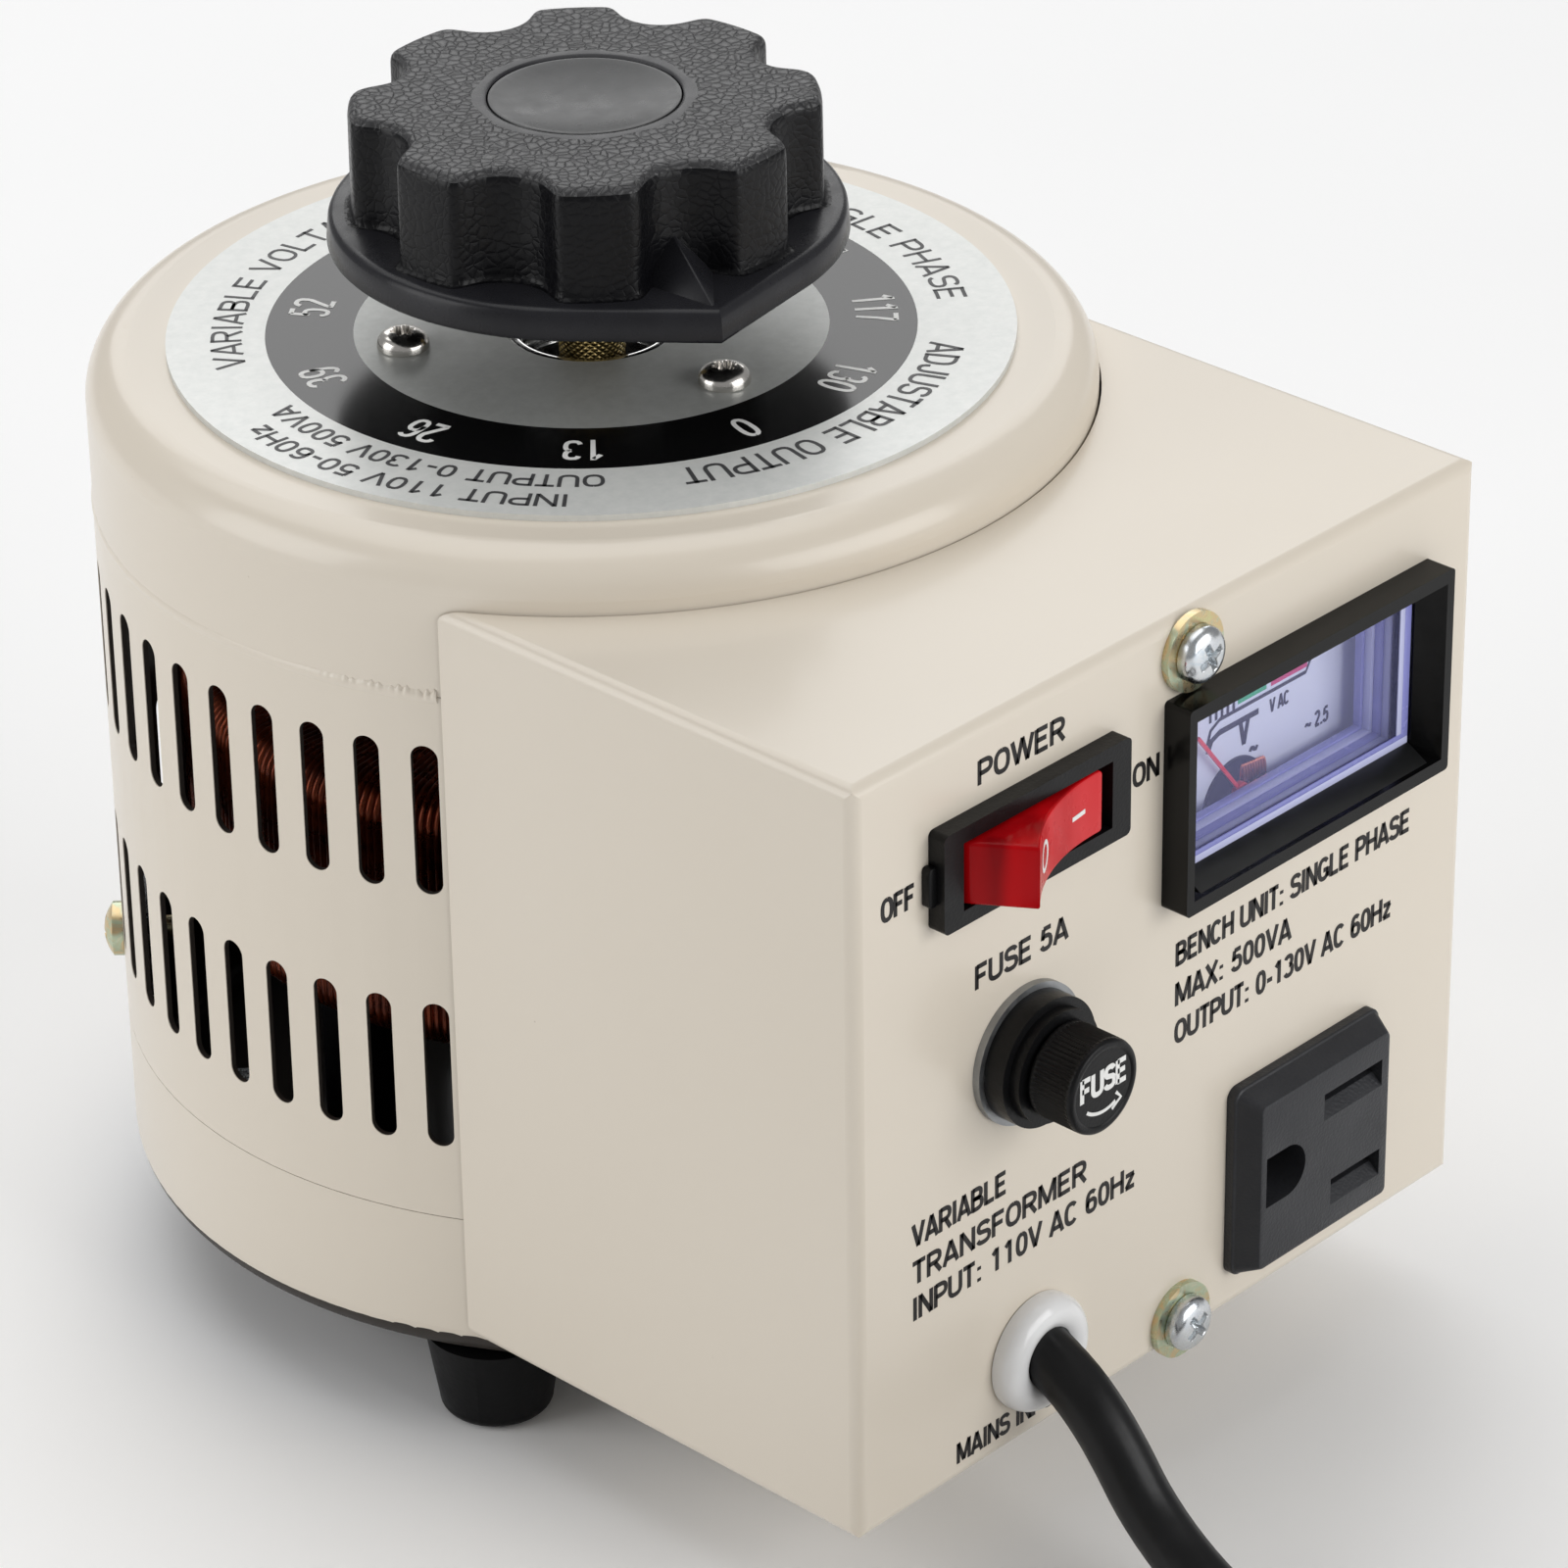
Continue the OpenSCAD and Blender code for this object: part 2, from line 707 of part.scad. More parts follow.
module fuse_ends() {
    color("silver") on_panel(fuse_pos) for (z = [-24.8, -5.4]) translate([0, 0, z]) difference() {
        cylinder(r = 2.65, h = 5.1);
        if (z < -20) translate([0, 0, 0.6]) cylinder(r = 2.4, h = 6);
        if (z > -20) translate([0, 0, -cut]) cylinder(r = 2.4, h = 5.5);
    }
}

module fuse_cap() {
    color("#19191a") on_panel(fuse_pos) difference() {
        union() {
            translate([0, 0, 5.8]) cylinder(r = 6.1, h = fuse_reach - 5.8);
            translate([0, 0, 1]) cylinder(r = 4.2, h = 5);
        }
        for (a = [0 : 10 : 350]) rotate([0, 0, a])
            translate([6.35, 0, 6.6]) cylinder(r = 0.42, h = fuse_reach - 7.6);
    }
}

// ---------------------------------------------------------------- cord and wiring

module cord_grommet() {
    color("white") on_panel(grommet_pos) difference() {
        union() {
            intersection() {
                cylinder(r = 7.7, h = 3);
                translate([0, 0, -6.3]) sphere(r = 10);
            }
            translate([0, 0, -sheet_t - 0.1]) cylinder(r = 5.7, h = 2);
            translate([0, 0, -sheet_t - 2]) cylinder(r = 7, h = 1.9);
        }
        translate([0, 0, -5]) cylinder(r = 3.9, h = 10);
        translate([0, -0.2, 0]) cylinder(r1 = 3.9, r2 = 4.6, h = 3.2);
    }
}

// Insulated wires: [colour, points].
wire_routes = [
    ["saddlebrown", [
        [-24.2, -64.4, 32.2], [-22, -58, 38], [-20, -49, 52], [-24, -42, 64], [-27.1, -39.4, 71.5]
    ]],
    ["royalblue", [
        [-27.2, -64.4, 31.8], [-16, -55, 36], [-6, -46.5, 48], [-5, -41, 52], [-4.6, -36, 46],
        [-4, -34, 34], [-4, -22, 27.2]
    ]],
    ["black", [[-39, -53.5, 71.8], [-42, -52, 78], [-40, -48.5, 92], [-36, -47.4, 101]]],
    ["firebrick", [
        [-27.5, -47.6, 101.7], [-24, -44, 95], [-17, -43, 86], [-14, -41, 74], [-13, -36, 60],
        [-12.4, -35, 46], [-12, -33, 34], [-12, -22, 27.2]
    ]],
    ["black", [
        [30.2, -44.4, 42.3], [24, -44, 48], [15, -43, 54], [12.6, -40, 56], [12.4, -35.5, 48],
        [12, -33, 34], [12, -22, 27.2]
    ]],
    ["green", [
        [17.4, -44.4, 35.6], [10, -46, 31], [-4, -50, 28], [-16, -58, 27.4], [-25.2, -64, 28.4]
    ]],
    ["dimgray", [
        [17, -48.2, 90], [12, -45, 84], [6, -43, 74], [4.6, -40, 64], [4.4, -35.5, 52],
        [4, -34, 34], [4, -22, 27.2]
    ]]
];

module wiring() {
    for (w = wire_routes) color(w[0]) tube(w[1], 1, 8);
}

module cord_lead() {
    color("#141415") tube(lead_route, cord_r, 10);
}

module cord_coil() {
    color("#141415") translate([coil_centre[0], coil_centre[1], 0]) rotate_extrude()
        translate([coil_r, cord_d]) rounded_rect(2 * cord_d, 2 * cord_d, cord_r);
}

module cord_tail() {
    color("#141415") tube(tail_route, cord_r, 10);
}

module coil_tie() {
    color("#101011") translate([coil_centre[0], coil_centre[1] + coil_r, cord_d]) rotate([90, 0, 90])
        linear_extrude(5, center = true) difference() {
            rounded_rect(2 * cord_d + 2.2, 2 * cord_d - 0.02, cord_r + 1);
            rounded_rect(2 * cord_d + 0.4, 2 * cord_d + 0.4, cord_r + 0.2);
        }
}

module at_plug() {
    translate(plug_pos) rotate([0, 0, plug_turn]) children();
}

module plug() {
    color("#161617") at_plug() rotate([-90, 0, 0]) {
        cylinder(r1 = 5, r2 = 7, h = 18);
        translate([0, 0, 17.9]) intersection() {
            rounded_plate(24, 20.8, 7, plug_len - 18);
            cylinder(r1 = 9.5, r2 = 16, h = plug_len - 18);
        }
    }
}

module plug_blades() {
    color("#c8b27a") at_plug() translate([0, plug_len - 0.05, 0]) {
        for (x = [-6.35, 6.35]) translate([x - 0.75, 0, 1.9]) cube([1.5, 17.5, 6.3]);
        translate([0, 0, -6.6]) rotate([-90, 0, 0]) cylinder(r = 2.4, h = 21);
    }
}

// ---------------------------------------------------------------- rotor

module at_pointer(z = 0) {
    at_axis(z) rotate([0, 0, pointer_angle]) children();
}

module shaft() {
    color("#a98f4e") at_pointer(shaft_z0) difference() {
        cylinder(r = shaft_r, h = knob_z0 + 13 - shaft_z0);
        translate([-10, -5, knob_z0 + 2 - shaft_z0]) cube([6.8, 10, 20]);
    }
}

module shaft_collar() {
    color("silver") at_pointer(hub_z0 - 6.6) difference() {
        ring(8, shaft_r + 0.02, 6.2);
        translate([0, 0, 3.1]) rotate([0, 90, 0]) cylinder(r = 1.2, h = 9);
    }
}

module knob_outline() {
    scallop_r = 6.8;
    scallop_depth = 4.7;
    difference() {
        circle(lobe_r);
        for (a = [0 : 45 : 315]) rotate([0, 0, a])
            translate([lobe_r - scallop_depth + scallop_r, 0]) circle(scallop_r);
    }
}

module skirt_outline() {
    touch = acos(skirt_r / pointer_r);
    base_r = skirt_r - 0.25;
    circle(skirt_r, $fn = 128);
    polygon([
        [pointer_r, 0], base_r * [cos(touch), sin(touch)], [0, 0],
        base_r * [cos(touch), -sin(touch)]
    ]);
}

module knob() {
    skirt_t = 4.2;
    edge = 1.2;
    color("#1b1b1d") at_pointer(knob_z0) difference() {
        union() {
            linear_extrude(skirt_t) skirt_outline();
            intersection() {
                translate([0, 0, 1]) linear_extrude(knob_h - 1) knob_outline();
                rotate_extrude() polygon([
                    [0, -1], [lobe_r + 1, -1], [lobe_r + 1, knob_h - edge - 1],
                    [lobe_r - edge, knob_h], [0, knob_h]
                ]);
            }
            translate([0, 0, skirt_t - 0.2]) polyhedron(
                points = [[24, 5.6, 0], [24, -5.6, 0], [35.6, 0, 0], [24, 0, 5.4]],
                faces = [[0, 2, 1], [0, 1, 3], [1, 2, 3], [2, 0, 3]]
            );
        }
        translate([0, 0, -cut]) difference() {
            cylinder(r = 21.5, h = 13);
            cylinder(r = 9, h = 13);
        }
        translate([0, 0, -cut]) cylinder(r = shaft_r + 0.02, h = 14.2);
        translate([0, 0, knob_h - 2.2]) cylinder(r = 12.1, h = 4);
        translate([-32, 0, 9]) rotate([0, 90, 0]) cylinder(r = 1.7, h = 30);
    }
}

module knob_cap() {
    color("#2a2a2c") at_pointer(knob_z0 + knob_h - 2.1) difference() {
        cylinder(r = 12, h = 1.9);
        translate([0, 0, 0.8 + 64]) sphere(r = 64, $fn = 128);
    }
}

module set_screw() {
    color("#7c7e80") at_pointer(knob_z0 + 9) translate([-9, 0, 0]) rotate([0, 90, 0]) difference() {
        cylinder(r = 1.6, h = 5.7);
        translate([0, 0, -cut]) cylinder(r = 0.8, h = 3, $fn = 6);
    }
}

module brush_arm() {
    color("#b9bcc0") at_pointer(arm_z0) difference() {
        union() {
            cylinder(r = 10, h = 7);
            translate([0, -6, 0]) cube([brush_r + 6, 12, 4]);
            rotate([0, 0, 180]) translate([0, -8, 0]) cube([22, 16, 4]);
        }
        translate([0, 0, -cut]) cylinder(r = shaft_r + 0.02, h = 10);
        translate([brush_r - 4.1, -3.6, -cut]) cube([8.2, 7.2, 10]);
    }
}

module brush_holder() {
    color("#c9a24a") at_pointer(arm_z0 - 6) difference() {
        translate([brush_r - 5, -4.5, 0]) cube([10, 9, 5.95]);
        translate([brush_r - 4, -3.5, -cut]) cube([8, 7, 10]);
    }
}

module brush_spring() {
    color("silver") at_pointer(arm_z0) translate([0, 2.5, 0]) rotate([90, 0, 0]) linear_extrude(5)
        polygon([
            [18, 4.05], [36.1, 4.05], [38.3, 1.65], [42, 1.65], [42, 2], [38.5, 2],
            [36.3, 4.45], [18, 4.45]
        ]);
}

module carbon_brush() {
    color("#2c2c2c") at_pointer(winding_z1 + 0.3)
        translate([brush_r - 3.8, -3.3, 0]) cube([7.6, 6.6, arm_z0 + 1.6 - winding_z1 - 0.3]);
}

base_pan();
feet();
foot_screws();
side_brackets();
drum_shell();
side_screws();
top_cover();
dial_plate();
dial_screws();
shaft_bush();
core_hub();
hub_screws();
core();
core_insulators();
winding();
clamp_disc();
clamp_nut();
shaft_bearings();
terminal_board();
terminal_screws();
control_box();
box_brackets();
box_screws();
box_washers();
switch_frame();
switch_terminals();
meter_bezel();
meter_case();
meter_window();
meter_scale();
meter_movement();
outlet_body();
outlet_contacts();
fuse_body();
fuse_washer();
fuse_nut();
fuse_terminals();
cord_grommet();
wiring();
cord_lead();
cord_coil();
cord_tail();
coil_tie();
plug();
plug_blades();
shaft();
shaft_collar();
knob();
knob_cap();
set_screw();
brush_arm();
brush_holder();
brush_spring();
carbon_brush();
rocker();
meter_needle();
fuse_clip();
fuse_glass();
fuse_ends();
fuse_cap();
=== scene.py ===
# Bench variable autotransformer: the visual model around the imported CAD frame.
from math import acos, atan2, copysign, cos, degrees, hypot, radians, sin, sqrt, pi
import bmesh
import bpy
from mathutils import Matrix, Vector, noise


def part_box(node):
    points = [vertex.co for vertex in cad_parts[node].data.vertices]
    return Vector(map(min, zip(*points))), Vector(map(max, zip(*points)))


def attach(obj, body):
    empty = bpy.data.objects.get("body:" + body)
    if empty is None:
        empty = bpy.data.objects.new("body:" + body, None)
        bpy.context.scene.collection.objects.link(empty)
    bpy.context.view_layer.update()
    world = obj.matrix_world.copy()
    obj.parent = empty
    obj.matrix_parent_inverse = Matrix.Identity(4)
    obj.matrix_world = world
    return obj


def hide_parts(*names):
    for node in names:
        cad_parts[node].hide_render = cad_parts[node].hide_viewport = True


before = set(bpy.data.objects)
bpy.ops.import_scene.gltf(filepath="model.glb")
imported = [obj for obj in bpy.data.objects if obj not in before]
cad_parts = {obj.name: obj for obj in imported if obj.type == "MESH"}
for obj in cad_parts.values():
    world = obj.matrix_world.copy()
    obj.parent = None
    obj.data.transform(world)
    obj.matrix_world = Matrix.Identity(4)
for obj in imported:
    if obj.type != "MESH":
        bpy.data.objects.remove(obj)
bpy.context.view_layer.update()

MM = 0.001

# ---- places, from the frame (mm)


def box_mm(node):
    lo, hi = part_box(node)
    return Vector(lo) / MM, Vector(hi) / MM


shell_lo, shell_hi = box_mm("drum_shell")
AY = (shell_lo.y + shell_hi.y) / 2  # the drum's axis is at x = 0, y = AY
DRUM_R = shell_hi.x
SEAM_Z = shell_hi.z
BOX_LO, BOX_HI = box_mm("control_box")
PANEL_Y = BOX_LO.y
PLATE_Z = box_mm("dial_plate")[1].z
knob_lo, knob_hi = box_mm("knob")
KNOB_Z = knob_lo.z
KNOB_H = knob_hi.z - knob_lo.z
POINTER = radians(-110)

# ---- mesh helpers


def shade(me, smooth):
    me.polygons.foreach_set("use_smooth", [True] * len(me.polygons))
    me.set_sharp_from_angle(angle=radians(smooth))


def piece(name, me, body, mats, smooth=None):
    """The mesh as an object in the scene; body None leaves it to its parent."""
    ob = bpy.data.objects.new(name, me)
    bpy.context.scene.collection.objects.link(ob)
    for m in mats:
        me.materials.append(m)
    if smooth is not None:
        shade(me, smooth)
    if body:
        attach(ob, body)
    return ob


def make(name, verts, faces, body, mats, smooth):
    """A piece from vertices in mm and faces, whose normals are turned outward."""
    me = bpy.data.meshes.new(name)
    me.from_pydata([tuple(Vector(v) * MM) for v in verts], [], faces)
    me.validate()
    bm = bmesh.new()
    bm.from_mesh(me)
    bmesh.ops.recalc_face_normals(bm, faces=bm.faces)
    bm.to_mesh(me)
    bm.free()
    return piece(name, me, body, mats, smooth)


def wrap(rows, closed=False, ends=False, first=0):
    """Vertices and faces over rows of points; a row may be one point, and ends adds flat ends."""
    verts, numbered = [], []
    for row in rows:
        start = first + len(verts)
        numbered.append(range(start, start + len(row)))
        verts += row
    faces = []
    for p, q in zip(numbered, numbered[1:] + numbered[:1 if closed else 0]):
        n = max(len(p), len(q))
        for j in range(n):
            k = (j + 1) % n
            if len(p) == 1:
                faces.append((p[0], q[j], q[k]))
            elif len(q) == 1:
                faces.append((p[j], p[k], q[0]))
            else:
                faces.append((p[j], p[k], q[k], q[j]))
    if ends:
        faces += [tuple(row) for row in (numbered[0], numbered[-1]) if len(row) > 1]
    return verts, faces


def skin(name, rows, body, mats, smooth=35, closed=False, ends=False):
    """A piece over rows of points in mm."""
    return make(name, *wrap(rows, closed, ends), body, mats, smooth)


def polar(radii, h, frame_m, turn=0.0):
    """Points about the local Z of frame_m, one for each radius; h is a number or h(x, y)."""
    out = []
    for j, r in enumerate(radii):
        a = turn + 2 * pi * j / len(radii)
        x, y = r * cos(a), r * sin(a)
        out.append(frame_m @ Vector((x, y, h(x, y) if callable(h) else h)))
    return out


def lathe(name, profile, body, mat, frame_m, segs=96, smooth=35, closed=False):
    """Revolves (r, h) pairs about the local Z of frame_m; r = 0 at an end closes it."""
    rows = [polar([r] * segs if r else [0], h, frame_m) for r, h in profile]
    return skin(name, rows, body, [mat], smooth, closed)


UPRIGHT = Matrix.Rotation(pi / 2, 4, "X")  # local X right, local Y up, local Z out of the panel


def about_axis(r, a, z):
    return Vector((r * cos(a), AY + r * sin(a), z))


def on_axis(z):
    return Matrix.Translation((0, AY, z))


def on_panel(x, z, out=0.0):
    return Matrix.Translation((x, PANEL_Y - out, z)) @ UPRIGHT


def bevelled(name, rows, body, mats, m, bevel, segments, smooth=35, sharp=0.5, clamp=True):
    """A closed solid over rows of points, its edges of more than sharp radians rounded."""
    verts, faces = wrap(rows, ends=True)
    bm = bmesh.new()
    made = [bm.verts.new(v) for v in verts]
    for face in faces:
        bm.faces.new([made[i] for i in face])
    bmesh.ops.recalc_face_normals(bm, faces=bm.faces)
    if bevel:
        edges = [e for e in bm.edges if e.calc_face_angle(0) > sharp]
        bmesh.ops.bevel(bm, geom=edges, offset=bevel, segments=segments, profile=0.5,
                        affect="EDGES", clamp_overlap=clamp)
    bm.transform(Matrix.Scale(MM, 4) @ m)
    me = bpy.data.meshes.new(name)
    bm.to_mesh(me)
    bm.free()
    return piece(name, me, body, mats, smooth)


def prism(name, outline, z0, z1, body, mat, m, bevel, segments=3):
    """A 2-D outline (mm) from z0 to z1, with rounded edges."""
    rows = [[(x, y, z) for x, y in outline] for z in (z0, z1)]
    return bevelled(name, rows, body, [mat], m, bevel, segments)


def rounded_rect(w, h, r, n=6):
    out = []
    for cx, cy, a0 in ((1, 1, 0), (-1, 1, 90), (-1, -1, 180), (1, -1, 270)):
        for i in range(n + 1):
            a = radians(a0 + 90 * i / n)
            out.append((cx * (w / 2 - r) + r * cos(a), cy * (h / 2 - r) + r * sin(a)))
    return out


def join(name, objs, body):
    """Joins mesh objects into one piece."""
    bm = bmesh.new()
    mats = []
    for ob in objs:
        start = len(bm.faces)
        bm.from_mesh(ob.data)
        bm.faces.ensure_lookup_table()
        remap = []
        for m in ob.data.materials:
            if m not in mats:
                mats.append(m)
            remap.append(mats.index(m))
        for f in bm.faces[start:]:
            f.material_index = remap[f.material_index]
    me = bpy.data.meshes.new(name)
    bm.to_mesh(me)
    bm.free()
    for ob in objs:
        bpy.data.objects.remove(ob)
    return piece(name, me, body, mats)


def smooth_path(points, per):
    """Catmull-Rom through the points, in per steps from each to the next."""
    p = [Vector(q) for q in points]
    p = [2 * p[0] - p[1]] + p + [2 * p[-1] - p[-2]]
    out = []
    for i in range(1, len(p) - 2):
        for k in range(per):
            t = k / per
            a, b, c, d = p[i - 1], p[i], p[i + 1], p[i + 2]
            out.append(0.5 * (2 * b + (c - a) * t + (2 * a - 5 * b + 4 * c - d) * t * t
                              + (3 * b - a - 3 * c + d) * t ** 3))
    out.append(p[-2])
    return out


def tube(name, path, radius, body, mat, sides):
    """A round tube along a path in mm, with flat ends."""
    n = len(path)
    tang = [(path[min(i + 1, n - 1)] - path[max(i - 1, 0)]).normalized() for i in range(n)]
    side = tang[0].orthogonal().normalized()
    rows = []
    for p, along in zip(path, tang):
        side = (side - along * side.dot(along)).normalized()
        up = along.cross(side)
        angles = [2 * pi * k / sides for k in range(sides)]
        rows.append([p + radius * (cos(a) * side + sin(a) * up) for a in angles])
    return skin(name, rows, body, [mat], 50, ends=True)


# ---- camera, fitted to the photograph

CAM = Vector((-530.5, -514.7, 479.4))  # mm
az, el, roll = radians(-46.394), radians(29.052), radians(-0.874)
back = Vector((sin(az) * cos(el), -cos(az) * cos(el), sin(el)))
right = Vector((cos(az), sin(az), 0))
up = back.cross(right)
cam_x = right * cos(roll) + up * sin(roll)
cam_y = up * cos(roll) - right * sin(roll)
cam_data = bpy.data.cameras.new("camera")
cam_data.lens = 152.6
cam_data.sensor_width = 36
cam_data.clip_start = 0.02
cam_data.clip_end = 20
cam = bpy.data.objects.new("camera", cam_data)
cam.matrix_world = Matrix((
    (cam_x.x, cam_y.x, back.x, CAM.x * MM),
    (cam_x.y, cam_y.y, back.y, CAM.y * MM),
    (cam_x.z, cam_y.z, back.z, CAM.z * MM),
    (0, 0, 0, 1)))
bpy.context.scene.collection.objects.link(cam)
bpy.context.scene.camera = cam

# ---- materials


class Nodes:
    """A small builder round one Principled material."""

    def __init__(self, name, colour, rough, **sockets):
        self.mat = bpy.data.materials.new(name)
        self.mat.use_nodes = True
        self.tree = self.mat.node_tree
        self.bsdf = next(n for n in self.tree.nodes if n.type == "BSDF_PRINCIPLED")
        for key, value in {"Base Color": (*colour, 1), "Roughness": rough, **sockets}.items():
            self.bsdf.inputs[key.replace("_", " ")].default_value = value
        self.at = self.add("ShaderNodeTexCoord").outputs["Object"]
        self.height = None

    def add(self, kind, inputs=None, **props):
        node = self.tree.nodes.new(kind)
        for key, value in props.items():
            setattr(node, key, value)
        for key, value in (inputs or {}).items():
            if hasattr(value, "is_output"):
                self.tree.links.new(value, node.inputs[key])
            else:
                node.inputs[key].default_value = value
        return node

    def space(self, scale=(1, 1, 1), location=(0, 0, 0), rotation=(0, 0, 0)):
        return self.add("ShaderNodeMapping", {"Vector": self.at, "Scale": scale, "Location": location,
                                              "Rotation": rotation}).outputs[0]

    def noise(self, scale, detail=3.0, rough=0.55, space=None, dist=0.0):
        return self.add("ShaderNodeTexNoise", {
            "Vector": space or self.at, "Scale": scale, "Detail": detail, "Roughness": rough,
            "Distortion": dist}).outputs["Fac"]

    def voronoi(self, scale, space=None, feature="F1", smooth=None):
        n = self.add("ShaderNodeTexVoronoi", {"Vector": space or self.at, "Scale": scale}, feature=feature)
        if smooth is not None:
            n.inputs["Smoothness"].default_value = smooth
        return n.outputs["Distance"]

    def ramp(self, fac, stops, mode="LINEAR"):
        n = self.add("ShaderNodeValToRGB", {"Fac": fac})
        n.color_ramp.interpolation = mode
        els = n.color_ramp.elements
        while len(els) < len(stops):
            els.new(0.5)
        for e, (pos, col) in zip(els, stops):
            e.position = pos
            e.color = (col, col, col, 1) if isinstance(col, (int, float)) else (*col, 1)
        return n.outputs["Color"]

    def mix(self, fac, a, b):
        a, b = [v if hasattr(v, "is_output") else (*v, 1) for v in (a, b)]
        return self.add("ShaderNodeMix", {0: fac, 6: a, 7: b}, data_type="RGBA").outputs[2]

    def math(self, op, a, b=0.0):
        return self.add("ShaderNodeMath", {0: a, 1: b}, operation=op).outputs[0]

    def spread(self, fac, low, high, x0=0.0, x1=1.0):
        return self.add("ShaderNodeMapRange", {"Value": fac, "From Min": x0, "From Max": x1,
                                               "To Min": low, "To Max": high}).outputs[0]

    def bump(self, height, strength, distance):
        """Adds a layer of relief, distance mm deep, over the ones before it."""
        inputs = {"Height": height, "Strength": strength, "Distance": distance * MM}
        if self.height:
            inputs["Normal"] = self.height
        self.height = self.add("ShaderNodeBump", inputs).outputs[0]
        self.link(self.height, "Normal")

    def link(self, out, key):
        self.tree.links.new(out, self.bsdf.inputs[key])

    def from_axis(self):
        """Metres from the drum's axis."""
        flat = self.space((1, 1, 0), (0, -AY * MM, 0))
        return self.add("ShaderNodeVectorMath", {0: flat}, operation="LENGTH").outputs["Value"]

    def blend(self, fac, a, b, low=0.3, high=0.7):
        """The colour a where fac is under low, b where it is over high, and mixed between."""
        return self.mix(self.spread(fac, 0, 1, low, high), a, b)

    def tint(self, a, b, *noise):
        """Base colour in blotches of a and b."""
        self.link(self.blend(self.noise(*noise), a, b), "Base Color")

    def gloss(self, low, high, *noise):
        """Roughness in blotches from low to high."""
        self.link(self.spread(self.noise(*noise), low, high, 0.3, 0.7), "Roughness")


def srgb(r, g, b):
    return tuple(((c / 255 + 0.055) / 1.055) ** 2.4 if c > 10 else c / 255 / 12.92 for c in (r, g, b))


# metres: inside this radius, below this height and behind this plane the enamel is painted near-black, as
# painted shade in the slot walls and inside the drum
DARK_R = (DRUM_R - 0.12) * MM
DARK_TOP = 0.118
DARK_FRONT = -0.035


def enamel():
    """Cream stoved paint: a faint orange peel, slow shade changes, a few specks and chips."""
    n = Nodes("cream_enamel", srgb(217, 208, 193), 0.3, Coat_Weight=0.25, Coat_Roughness=0.12)
    tone = n.mix(n.noise(14, 2, 0.4), srgb(216, 206, 190), srgb(222, 213, 199))
    speck = n.ramp(n.voronoi(210), [(0.0, 1.0), (0.035, 0.0)])
    sparse = n.ramp(n.noise(38, 2), [(0.6, 0.0), (0.66, 1.0)])
    chips = n.math("MULTIPLY", speck, sparse)
    tone = n.mix(n.math("MULTIPLY", chips, 0.7), tone, srgb(150, 128, 108))
    sep = n.add("ShaderNodeSeparateXYZ", {0: n.at})
    # painted shade: the enamel turns near-black brown inside the drum and in its slot walls
    painted_shade = n.math("LESS_THAN", n.from_axis(), DARK_R)
    painted_shade = n.math("MULTIPLY", painted_shade, n.math("LESS_THAN", sep.outputs[2], DARK_TOP))
    painted_shade = n.math("MULTIPLY", painted_shade, n.math("GREATER_THAN", sep.outputs[1], DARK_FRONT))
    n.link(n.mix(painted_shade, tone, (0.02, 0.014, 0.01)), "Base Color")
    n.link(n.math("ADD", n.spread(n.noise(60, 2), 0.28, 0.34), n.math("MULTIPLY", painted_shade, 0.5)), "Roughness")
    n.bump(n.noise(420, 2, 0.4), 0.1, 0.12)
    n.bump(n.noise(1500, 2, 0.5), 0.05, 0.05)
    return n.mat


def plastic(name, colour, rough, grain=0.0, cell=900.0, depth=0.1, coat=0.0, tint=0.15, shine=0.3):
    """Moulded plastic with a spark-eroded grain of cell cells to a metre."""
    n = Nodes(name, colour, rough, Coat_Weight=coat, Coat_Roughness=0.08, Specular_IOR_Level=shine)
    darker = tuple(c * (1 - tint) for c in colour)
    lighter = tuple(min(1, c * (1 + tint) + 0.002) for c in colour)
    n.tint(darker, lighter, 90, 4)
    n.gloss(rough - 0.06, rough + 0.06, 300, 3)
    if grain:
        n.bump(n.voronoi(cell, feature="SMOOTH_F1", smooth=0.35), grain, depth)
    n.bump(n.noise(2600, 2), 0.12, 0.04)
    return n.mat


def leather_plastic(name, colour, rough, strength, shine):
    """The knob's pebble grain: raised round cells with creases between them."""
    n = Nodes(name, colour, rough, Specular_IOR_Level=shine)
    jitter = n.add("ShaderNodeTexNoise", {"Vector": n.at, "Scale": 260.0}).outputs["Color"]
    shift = n.add("ShaderNodeVectorMath", {0: jitter, "Scale": 0.0011}, operation="SCALE").outputs[0]
    warp = n.add("ShaderNodeVectorMath", {0: n.at, 1: shift}, operation="ADD").outputs[0]
    cells = n.voronoi(820, warp, "DISTANCE_TO_EDGE")
    crease = n.ramp(cells, [(0.0, 0.0), (0.1, 0.65), (0.3, 1.0)])
    fine = n.voronoi(1900, warp, "SMOOTH_F1", smooth=0.5)
    n.bump(crease, strength, 0.26)
    n.bump(fine, strength * 0.5, 0.07)
    n.tint([c * 0.8 for c in colour], [c * 1.25 for c in colour], 70, 3)
    n.link(n.spread(crease, rough + 0.12, rough, 0, 1), "Roughness")
    return n.mat


def metal(name, colour, rough, streak=0.0, scratch=0.15, scale=300):
    """Plated or turned metal: blotches of a second tint, and fine scratches."""
    n = Nodes(name, colour, rough, Metallic=1.0)
    other = [c * 0.82 for c in colour]
    n.link(n.blend(n.noise(scale, 4, 0.6), colour, other, 0.35, 0.65), "Base Color")
    n.gloss(max(0.05, rough - 0.08), rough + 0.1, scale * 2.2, 4)
    if streak:
        n.bump(n.noise(900, 2, space=n.space((1, 1, streak))), 0.15, 0.05)
    n.bump(n.noise(1800, 3, space=n.space((1, 0.08, 0.6), rotation=(0.4, 0.3, 0.9))), scratch, 0.03)
    return n.mat


